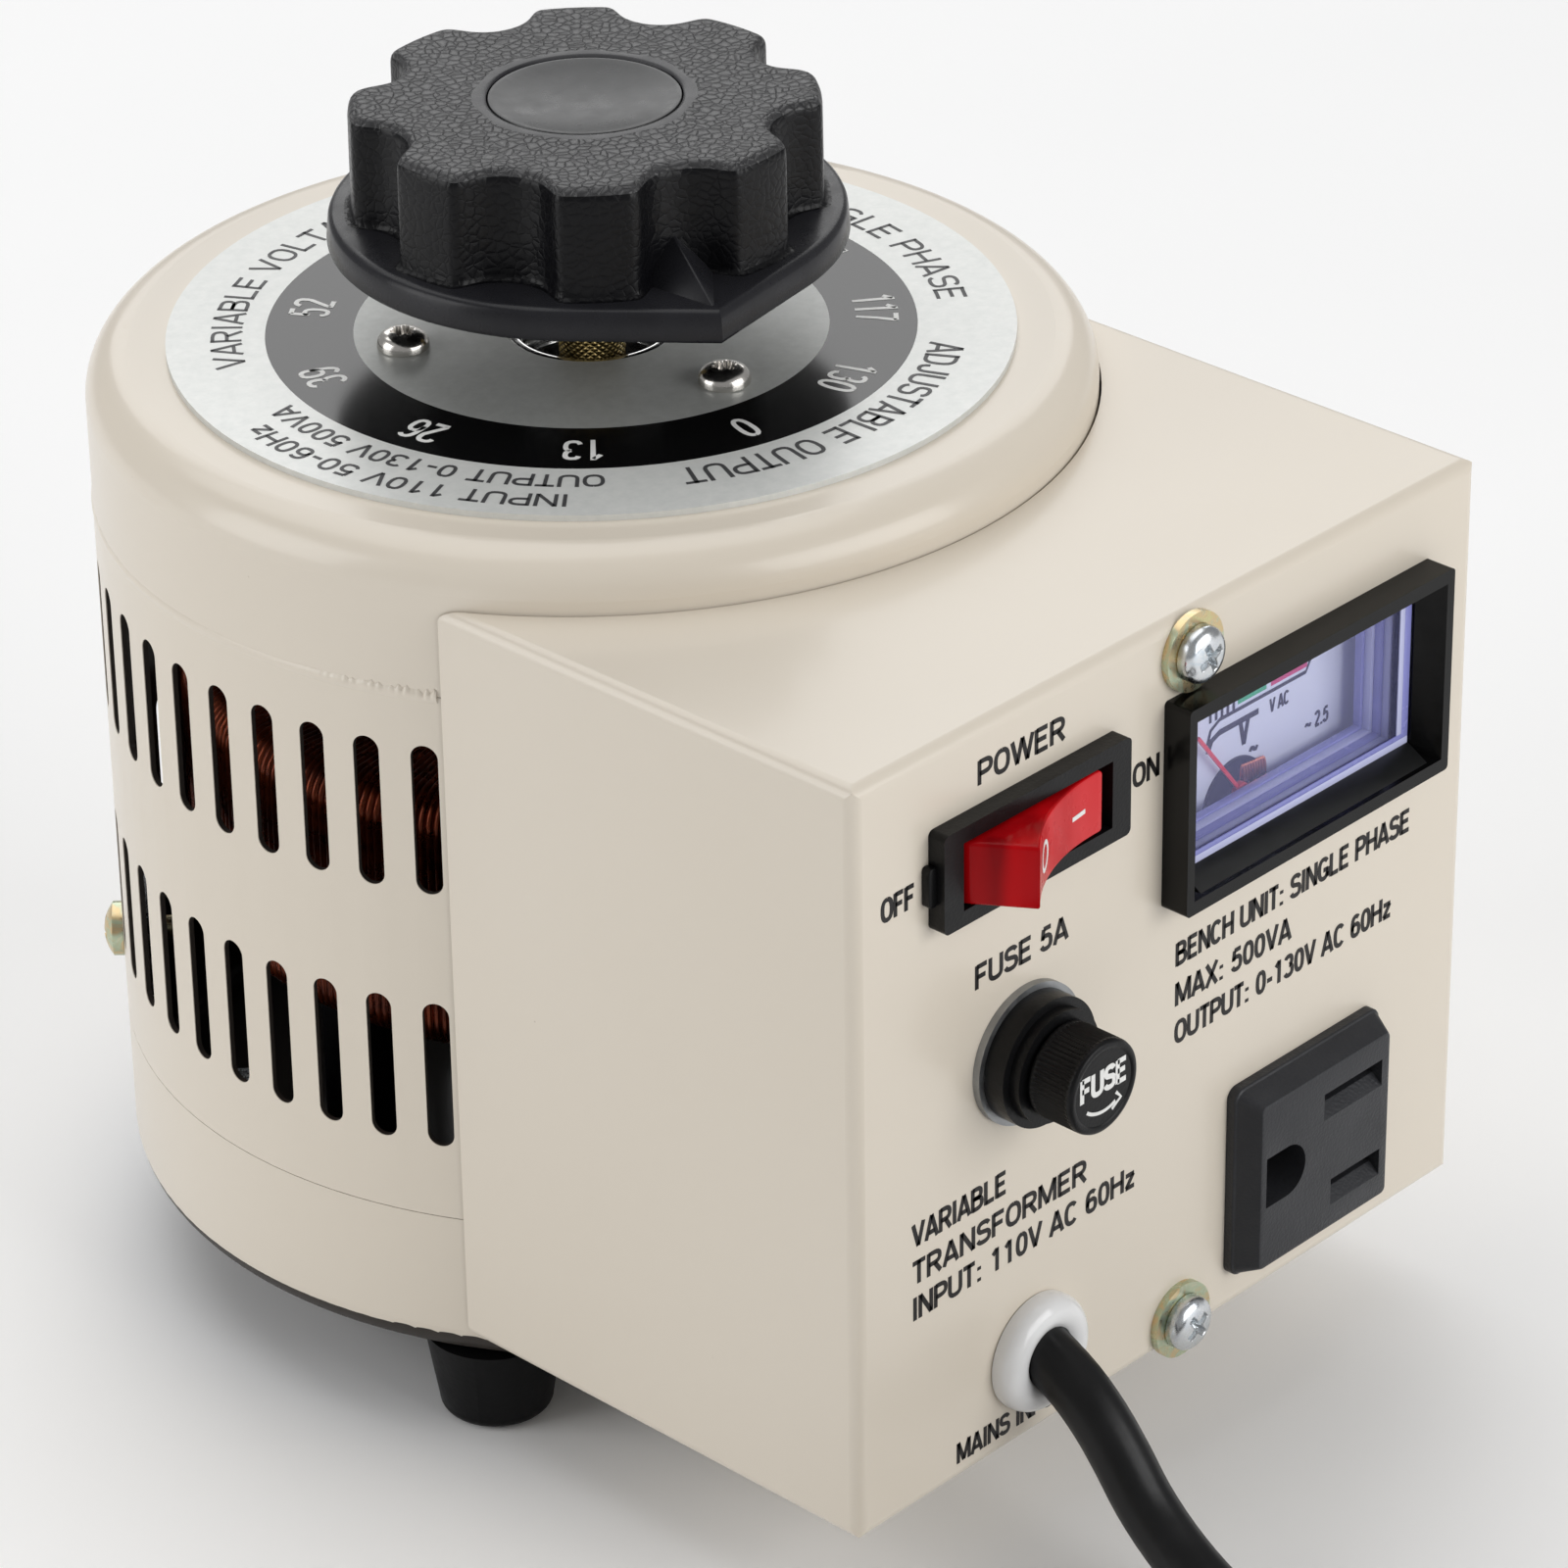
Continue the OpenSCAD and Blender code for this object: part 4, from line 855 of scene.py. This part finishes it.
def letters(name, string, height, place, body, mat, width=None, weight=0.195, centred=False):
    """Strokes of constant weight, laid on a surface by place; width fits the line."""
    natural = sum(GLYPHS[c][0] + LETTER_GAP for c in string) - LETTER_GAP
    kx = width / natural if width else height * 0.9
    x = -natural * kx / 2 if centred else 0.0
    verts, faces = [], []
    for c in string:
        w, strokes = GLYPHS[c]
        for pts in strokes:
            pts = [(x + u * kx, v * height) for u, v in pts]
            more, sides = wrap(ribbon(pts, height * weight, place, 0.04), ends=True, first=len(verts))
            verts += more
            faces += sides
        x += (w + LETTER_GAP) * kx
    ob = make(name, verts, faces, body, [mat], 30)


def panel_text(name, string, x0, x1, z, height):
    """One line on the panel between x0 and x1, its letters height mm tall."""
    letters(name, string, height, lambda x, y, t: Vector((x0 + x, PANEL_Y - 0.01 - t, z + y)),
            "housing", INK, x1 - x0)


def ring_text(name, string, start, r, height, mat, span=None, centred=False, weight=0.15):
    """Letters round the dial, tops outward, clockwise from start degrees; r is the baseline."""
    mid = r + height / 2

    def place(x, y, t):
        return about_axis(r + y, radians(start) - x / mid, PLATE_Z + 0.01 + t)
    letters(name, string, height, place, "housing", mat,
            radians(span) * mid if span else None, weight, centred)


for i in range(11):
    ring_text("dial_number_%d" % (13 * i), str(13 * i), -104 - 33 * i, 33.1, 5.4, WHITE_INK,
              centred=True, weight=0.115)
for name, string, start, r, height, span, weight in (
        ("input", "INPUT 110V 50-60Hz", -138.5, 47.7, 3.2, 53, 0.15),
        ("output", "OUTPUT 0-130V 500VA", -133.2, 42.5, 3.2, 62, 0.15),
        ("turn", "ADJUSTABLE OUTPUT", -55.5, 42.7, 4.4, 66, 0.12),
        ("kind", "VARIABLE VOLTAGE", 148, 43.7, 3.9, 68, 0.12),
        ("phase", "SINGLE PHASE", 12, 43.7, 4.0, 51, 0.12)):
    ring_text("dial_text_" + name, string, start, r, height, DIAL_INK, span, weight=weight)
for name, string, x0, x1, z, height in (
        ("power", "POWER", -35.4, -20.2, 110.6, 3.2),
        ("off", "OFF", -51.8, -46.2, 99.4, 3.1),
        ("on", "ON", -8.0, -3.2, 98.8, 3.1),
        ("fuse", "FUSE 5A", -35.8, -19.4, 83.6, 3.2),
        ("line_1", "BENCH UNIT: SINGLE PHASE", 0.5, 45.5, 70.8, 3.2),
        ("line_2", "MAX: 500VA", 0.5, 22.5, 65.2, 3.2),
        ("line_3", "OUTPUT: 0-130V AC 60Hz", 0.5, 42.3, 59.8, 3.2),
        ("line_4", "VARIABLE", -46.8, -30.2, 53.2, 3.2),
        ("line_5", "TRANSFORMER", -46.8, -15.6, 48.0, 3.2),
        ("line_6", "INPUT: 110V AC 60Hz", -46.8, -6.6, 43.0, 3.2),
        ("line_7", "MAINS INPUT", -39.0, -19.5, 18.6, 2.9)):
    panel_text("text_" + name, string, x0, x1, z, height)

# ---- rocker

PIVOT = Vector((-27.5, PANEL_Y - 1.0, 101.7))
ROCK = Matrix.Translation(PIVOT) @ Matrix.Rotation(radians(20), 4, "Z")
TIP_X, TIP_Y, DISH = 9.9, 5.2, 1.9
DISH_R = (TIP_X ** 2 + DISH ** 2) / (2 * DISH)
ROCKER_H = 4.15  # half its height


def rocker_front(x):
    return -(TIP_Y - DISH + DISH_R - sqrt(DISH_R ** 2 - x * x))


outline = [(-12, 4), (-TIP_X, -TIP_Y)]
outline += [(TIP_X * (k / 12 - 1), rocker_front(TIP_X * (k / 12 - 1))) for k in range(1, 24)]
outline += [(TIP_X, -TIP_Y), (12, 4)]
rows = [[(x * (1 - ins / 13), y * (1 - ins / 6), z) for x, y in outline]
        for z, ins in ((-ROCKER_H, 0.5), (-ROCKER_H + 0.15, 0.14), (-ROCKER_H + 0.5, 0),
                       (ROCKER_H - 0.5, 0), (ROCKER_H - 0.15, 0.14), (ROCKER_H, 0.5))]
rocker = bevelled("rocker_body", rows, "switch_rocker", [RUBY, RUBY_FROST_LIT], ROCK, 0.22, 2, 30, 0.35)
# the dished front is frosted, and its lighter red is partly painted light on the lit face
inv = (Matrix.Scale(MM, 4) @ ROCK).inverted()
for p in rocker.data.polygons:
    c = inv @ p.center
    if abs(c.z) < 4.0 and c.y < -2.6 and abs(c.x) < 9.7:
        p.material_index = 1
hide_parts("rocker")


def on_rocker(u, v, lift):
    """A point on the dished front: u across, v up."""
    return ROCK @ Vector((u, rocker_front(u) - lift, v))


def stroke(name, pts, width, body, mat, place, thick=0.05, closed=False):
    """A flat stroke of constant width along 2-D points, laid on a surface by place."""
    ob = skin(name, ribbon(pts, width, place, thick, closed), body, [mat], 30, closed, not closed)
    return ob


def arc(cx, cy, rx, ry, a0, a1, n):
    angles = [radians(a0 + (a1 - a0) * i / n) for i in range(n + 1)]
    return [(cx + rx * cos(a), cy + ry * sin(a)) for a in angles]


stroke("rocker_mark_o", arc(-4.7, 0, 1.4, 1.8, 0, 345, 23), 0.55, "switch_rocker", WHITE_INK, on_rocker,
       closed=True)
stroke("rocker_mark_i", [(4.3, 0), (6.9, 0)], 0.6, "switch_rocker", WHITE_INK, on_rocker)

# ---- meter face

CARD_LO, CARD_HI = box_mm("meter_scale")
WIN_LO, WIN_HI = box_mm("meter_window")
SIDEWAYS = Matrix(((0, 0, 1, 0), (1, 0, 0, 0), (0, 1, 0, 0), (0, 0, 0, 1)))  # outline in Y and Z


def on_card(x, z, lift):
    return Vector((x, CARD_LO.y - 0.02 - lift, z))


for name, pts, width, mat in (
        ("frame", [(15.3, 92.2), (15.9, 94.0), (17.6, 94.9), (34.0, 94.9), (35.7, 97.8)], 0.5, INK),
        ("bar", [(15.4, 91.0), (16.1, 92.5), (17.6, 93.1), (25.0, 93.1)], 0.8, INK),
        ("band_green", [(21.0, 96.3), (26.4, 96.3)], 1.4, GREEN_INK),
        ("band_magenta", [(27.3, 96.3), (34.2, 96.3)], 1.4, PINK_INK)):
    stroke("scale_" + name, pts, width, "housing", mat, on_card, 0.04)
ticks = [stroke("tick", [(x, 95.1), (x, 96.2 if i % 3 else 97.2)], 0.45, None, INK, on_card)
         for i, x in enumerate((15.8, 16.9, 18.0, 19.1, 20.2))]
ticks = join("scale_ticks", ticks, "housing")


def card_text(name, string, x, z, height, weight=0.18):
    letters(name, string, height, lambda u, v, t: on_card(x + u, z + v, t), "housing", INK,
            None, weight, True)


card_text("scale_v", "V", 22.3, 89.5, 3.4, 0.2)
card_text("scale_wave", "~", 24.2, 87.0, 3.0)
card_text("scale_vac", "V AC", 29.0, 91.9, 1.9)
card_text("scale_class", "~ 2.5", 36.4, 86.3, 2.2)

# the card, a plain rectangle as large as the window's view
CARD_Z = 94.2
card_x = (CARD_LO.x + CARD_HI.x) / 2
card = prism("meter_card", [(x + card_x, z + CARD_Z) for x, z in rounded_rect(43.0, 22.6, 0.4, 3)],
             -CARD_HI.y, -CARD_LO.y, "housing", SCALE_WHITE, UPRIGHT, 0.06, 2)
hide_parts("meter_scale")


def rect(x0, x1, z0, z1):
    return [(x0, z0), (x1, z0), (x1, z1), (x0, z1)]


# stepped ledges behind the window, below and on the right, painted pale and tinted as painted light: the
# glow of the clear cover's lit steps
ledges = []
for i in range(4):
    front, back_y = PANEL_Y + 1.6 + 1.1 * i, PANEL_Y + 2.7 + 1.1 * i
    top, left = WIN_LO.z + 1.75 + 0.32 * i, WIN_HI.x - 1.75 - 0.5 * i
    for outline in (rect(WIN_LO.x + 1.5, WIN_HI.x - 1.5, WIN_LO.z + 1.45, top),
                    rect(left, WIN_HI.x - 1.45, top, WIN_HI.z - 1.5)):
        ledges.append(prism("step", outline, -back_y, -front, None, PAINTED_LIGHT_TINT if i % 2 else PAINTED_LIGHT_PALE,
                            UPRIGHT, 0.1, 2))
# pale and tinted strips round the window, on its front: painted light where the clear cover's thick edges
# catch the light
for x0, x1, z0, z1, mat in ((0.15, 43.25, 1.2, 2.2, PAINTED_LIGHT_PALE), (0.95, 42.0, 2.2, 2.9, PAINTED_LIGHT_TINT),
                            (42.0, 43.25, 2.2, 22.9, PAINTED_LIGHT_TINT), (41.1, 42.0, 2.9, 22.9, PAINTED_LIGHT_PALE),
                            (0.15, 0.95, 2.2, 22.9, PAINTED_LIGHT_TINT)):
    outline = rect(WIN_LO.x + x0, WIN_LO.x + x1, WIN_LO.z + z0, WIN_LO.z + z1)
    rim = prism("meter_rim", outline, -PANEL_Y + 0.01, -PANEL_Y + 0.22, "housing", mat, UPRIGHT, 0.05, 2)
# the sill, sloping from the bezel's lower lip up to the window
outline = [(PANEL_Y - 3.5, WIN_LO.z - 0.66), (PANEL_Y - 0.02, WIN_LO.z + 0.02),
           (PANEL_Y - 0.02, WIN_LO.z + 1.35)]
sill = prism("meter_bezel_sill", outline, WIN_LO.x + 0.02, WIN_HI.x - 0.02, "housing", SILL_BLACK,
             SIDEWAYS, 0.08, 2)
pale = join("meter_ledges_painted_light_pale", ledges[0:2] + ledges[4:6], "housing")
tinted = join("meter_ledges", ledges[2:4] + ledges[6:8], "housing")
# a coil of bright copper on the movement
coil_turns = []
angles = [2 * pi * k / 20 for k in range(21)]
for i in range(9):
    c = Vector((21.6 + 0.5 * i, CARD_LO.y - 0.42, 85.2 - 0.06 * i))
    pts = [c + Vector((0.3 * cos(t), -0.14 * cos(t), 1.9 * sin(t))) for t in angles]
    coil_turns.append(tube("turn", pts, 0.2, None, BRIGHT_COPPER, 6))
coil = join("meter_coil", coil_turns, "housing")

# ---- fuse cap

FUSE_X, FUSE_Z = -27.1, 71.5
CAP_Y = box_mm("fuse_cap")[0].y
REACH = PANEL_Y - CAP_Y
RIBS, PER_RIB, RIB_DEPTH = 60, 6, 0.3


def on_cap(u, v, lift):
    return Vector((FUSE_X + u, CAP_Y + 0.16 - lift, FUSE_Z + v))


letters("cap_word", "FUSE", 3.2, lambda x, y, t: on_cap(x, y - 0.6, t), "fuse_knob", WHITE_INK,
        8.2, 0.22, True)
stroke("cap_arrow", arc(0, 0.4, 4.2, 3.6, 225, 300, 14), 0.45, "fuse_knob", WHITE_INK, on_cap)
stroke("cap_arrow_head", [(1.5, -3.6), (3.1, -2.6), (2.2, -1.6)], 0.45, "fuse_knob", WHITE_INK, on_cap)
# radius, height over the panel, and the share of the ribs' full depth
rows = []
for r, h, share in (
        (0.0, 1.0, 0), (4.0, 1.0, 0), (4.2, 1.2, 0), (4.2, 5.7, 0), (4.4, 5.8, 0), (5.75, 5.8, 0),
        (6.05, 6.0, 0), (6.1, 6.25, 0), (6.1, 6.5, 0.2), (6.1, 6.8, 1), (6.1, REACH - 1.1, 1),
        (6.1, REACH - 0.85, 0.3), (6.08, REACH - 0.6, 0), (5.95, REACH - 0.2, 0), (5.7, REACH - 0.03, 0),
        (5.4, REACH, 0), (5.1, REACH - 0.05, 0), (4.95, REACH - 0.18, 0), (0.0, REACH - 0.18, 0)):
    depth = [RIB_DEPTH * share * abs(sin(pi * j / PER_RIB)) ** 1.5 for j in range(RIBS * PER_RIB)]
    rows.append(polar([r - d for d in depth] if r else [0], h, on_panel(FUSE_X, FUSE_Z)))
fuse_cap = skin("fuse_cap_ribbed", rows, "fuse_knob", [BLACK_FINE], 40)
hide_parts("fuse_cap")

# ---- screw heads

HEAD_RINGS, HEAD_SEGS = 30, 120


def screw_head(frame_m, radius, height, shank_r, shank_l, recess, mat, dome):
    """A domed head less recess(x, y), on a plain shank."""
    def top(x, y):
        f = hypot(x, y) / radius
        crown = height * (1 - dome * (1 - sqrt(max(0, 1 - f ** 3.2))))
        return max(0.02, crown - recess(x, y))
    radii = [radius * sqrt(i / HEAD_RINGS) for i in range(HEAD_RINGS + 1)]
    rows = [polar([r] * HEAD_SEGS if r else [0], top, frame_m) for r in radii]
    for r, h in ((radius, 0.15), (radius - 0.15, 0.0), (shank_r, 0.0), (shank_r, -shank_l)):
        rows.append(polar([r] * HEAD_SEGS, h, frame_m))
    return skin("head", rows, None, [mat], 38, ends=True)


def cross(x, y):
    """A cross recess that narrows towards its bottom."""
    d = min(abs(x), abs(y))
    reach = max(abs(x), abs(y))
    if d > 0.5 or reach > 2.0:
        return 0.0
    return min(1.25, 4 * (0.5 - d), 2.5 * (2.0 - reach))


def star(x, y):
    """A six-pointed recess."""
    r = hypot(x, y)
    edge = 1.35 + 0.22 * cos(6 * atan2(y, x))
    return min(1.1, max(0.0, 6 * (edge - r)))


heads = []
for x, z, turn in ((2, 113.5, 24), (2, 19.6, 38)):
    m = on_panel(x, z, 1.0) @ Matrix.Rotation(radians(turn), 4, "Z")
    heads.append(screw_head(m, 3.6, 2.5, 1.88, 7, cross, ZINC, 0.6))
heads = join("panel_screw_heads", heads, "housing")
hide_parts("box_screws")
heads = []
for a in (-92.5, 147.5, 27.5):
    turn = Matrix.Rotation(radians(a), 4, "Z")
    heads.append(screw_head(on_axis(PLATE_Z) @ turn @ Matrix.Translation((24, 0, 0)), 3.3, 2.3, 1.42, 5,
                            star, NICKEL, 0.8))
heads = join("dial_screw_heads", heads, "housing")
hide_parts("dial_screws")

# ---- bush, open round the shaft

bush_top = box_mm("shaft_bush")[1].z
bush_prof = [(4.26, -12.6), (10.2, -12.6), (10.4, -12.4), (10.4, -4.4), (28.8, -4.4), (29.0, -4.2),
             (29.0, -1.6), (28.8, -1.4), (10.7, -1.4), (10.7, -0.15), (10.6, -0.03), (10.45, 0.0),
             (9.85, 0.0), (9.7, -0.04), (9.6, -0.2), (9.6, -5.6), (9.45, -6.1), (9.0, -6.4), (4.5, -6.4),
             (4.33, -6.48), (4.26, -6.7)]
cup = lathe("shaft_bush_cup", bush_prof, "housing", BUSH_CHROME, on_axis(bush_top), 120, 35, closed=True)
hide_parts("shaft_bush")

# ---- paint bead over the lid seam

BEAD_STEPS = 900
THICK_SPAN = 19.0  # degrees beside the box where the bead runs thick and lumpy
BEAD_SECTION = ((-0.3, -1.0), (0.0, -1.0), (0.45, -0.62), (0.85, -0.22), (1.0, 0.1), (0.85, 0.45),
                (0.45, 0.75), (0.0, 1.05), (-0.3, 1.05))
a_left = degrees(atan2(-sqrt(DRUM_R ** 2 - BOX_LO.x ** 2), BOX_LO.x)) % 360
a_right = -degrees(acos(BOX_HI.x / DRUM_R))
rows = []
for i in range(BEAD_STEPS + 1):
    deg = a_right + (a_left - a_right) * i / BEAD_STEPS
    near = max(0.0, 1 - (a_left - deg) / THICK_SPAN) ** 0.6
    lump = (sin(deg * 2.1) * sin(deg * 3.7 + 1) + 0.6 * sin(deg * 7.9)) * near
    wave = 0.12 * sin(deg * 0.23) + 0.08 * sin(deg * 0.61 + 2)
    proud = 0.14 + 0.03 * wave + 0.26 * near * (0.6 + 0.5 * lump)
    high = 0.62 + 0.1 * wave + 0.35 * near * (0.5 + 0.5 * lump)
    rise = SEAM_Z + 0.22 * near * lump
    rows.append([about_axis(DRUM_R + away * (proud if away > 0 else 0.25), radians(deg), rise + up * high)
                 for away, up in BEAD_SECTION])
bead = skin("seam_paint_bead", rows, "housing", [ENAMEL], 60, ends=True)

# ---- outlet

OUT_M = on_panel(24.9, 35.1)


def loft(name, levels):
    """A closed solid through rounded rectangles (w, h, corner radius, height) on the outlet."""
    rows = [[OUT_M @ Vector((x, y, z)) for x, y in rounded_rect(w, h, r, 8)] for w, h, r, z in levels]
    return skin(name, rows, None, [OUTLET_GREY], 25, ends=True)


def carve(ob, cutters):
    for c in cutters:
        mod = ob.modifiers.new("cut", "BOOLEAN")
        mod.operation, mod.solver, mod.object = "DIFFERENCE", "EXACT", c
    bpy.context.view_layer.update()
    me = bpy.data.meshes.new_from_object(ob.evaluated_get(bpy.context.evaluated_depsgraph_get()))
    ob.modifiers.clear()
    ob.data = me
    shade(me, 25)


face = loft("plate", [(28.2, 27.2, 1.6, 0.02), (28.2, 27.2, 1.6, 1.15), (28.0, 27.0, 1.5, 1.35),
                      (27.6, 26.6, 1.4, 1.5), (25.2, 24.0, 0.9, 4.2), (24.9, 23.7, 0.8, 4.42),
                      (24.5, 23.3, 0.7, 4.5)])
block = loft("block", [(25, 25, 0.3, -22), (25, 25, 0.3, 0.05)])
# two blade slots, stepped inside, and the earth hole
cutters = []
for y, w in ((6.4, 11.4), (-6.8, 9.7)):
    side = [(-2.0, 6), (2.0, 6), (2.0, -14), (-0.4, -14), (-0.4, 3.0), (-2.0, 4.7)]
    turn = OUT_M @ Matrix.Translation((11 - w, y, 0)) @ Matrix.Rotation(pi / 2, 4, "Z") @ UPRIGHT
    cutters.append(prism("cutter", side, 0, w, None, OUTLET_GREY, turn, 0))
earth = [(-4.0, -3.6), (0.2, -3.6)] + arc(0, 0, 3.6, 3.6, -84, 84, 28) + [(0.2, 3.6), (-4.0, 3.6)]
cutters.append(prism("cutter", earth, -14, 6, None, OUTLET_GREY,
                     OUT_M @ Matrix.Translation((-7.5, 0.5, 0)), 0))
for ob in (face, block):
    carve(ob, cutters)
for c in cutters:
    bpy.data.objects.remove(c)
outlet = join("outlet_front", [face, block], "housing")
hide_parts("outlet_body")

# ---- cord grommet and switch clip

HOLE_R = 3.95
grommet_prof = [(HOLE_R, -2.6), (6.8, -2.6), (7.0, -2.4), (7.0, -0.95), (6.8, -0.85), (5.7, -0.82),
                (5.7, 0.0), (7.5, 0.0), (7.68, 0.15), (7.72, 0.5)]
grommet_prof += arc(5.45, 1.1, 2.27, 2.3, 0, 180, 15)
grommet_prof += [(4.1, 0.0), (HOLE_R, -1.0)]
grommet_prof = [(max(HOLE_R, r), h) for r, h in grommet_prof]
grommet = lathe("grommet_ring", grommet_prof, "housing", NYLON, on_panel(-25.2, 28.5), 96, 40, closed=True)
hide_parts("cord_grommet")

# the switch frame's clip, just seen beside the frame
clip = prism("switch_clip", rounded_rect(1.4, 5.2, 0.5, 3), 0.02, 1.3, "housing", BLACK_FINE,
             on_panel(-44.3, 101.4), 0.25)

# ---- floor and lights

floor_mat = Nodes("floor_pale", (0.95, 0.95, 0.95), 0.6)
floor_mat.tint((0.94, 0.94, 0.94), (0.96, 0.96, 0.96), 6, 2)
bpy.ops.mesh.primitive_plane_add(size=30, location=(0, 0, -0.0002))
floor = bpy.context.object
floor.name = "floor"
floor.data.materials.append(floor_mat.mat)

world = bpy.data.worlds.new("studio")
bpy.context.scene.world = world
world.use_nodes = True
world.node_tree.nodes["Background"].inputs[0].default_value = (1, 1, 1, 1)
world.node_tree.nodes["Background"].inputs[1].default_value = 0.3


def area(name, pos, target, size, power):
    """A white rectangular lamp that faces target."""
    data = bpy.data.lights.new(name, "AREA")
    data.shape = "RECTANGLE"
    data.size, data.size_y = size
    data.energy = power
    ob = bpy.data.objects.new(name, data)
    bpy.context.scene.collection.objects.link(ob)
    ob.location = pos
    ob.rotation_euler = (Vector(target) - Vector(pos)).to_track_quat("-Z", "Y").to_euler()


area("top_soft", (0.15, 0.4, 1.2), (0, 0, 0.1), (1.2, 1.2), 6.5)
area("back_soft", (0.95, 0.97, 0.78), (0, 0, 0.12), (1.3, 0.7), 4.5)
area("left_soft", (-1.05, 0.6, 0.5), (0, 0, 0.08), (0.8, 0.9), 6)
area("front_soft", (0.3, -1.2, 0.5), (0, 0, 0.08), (1.1, 0.8), 9.5)
bpy.context.scene.view_settings.view_transform = "Standard"
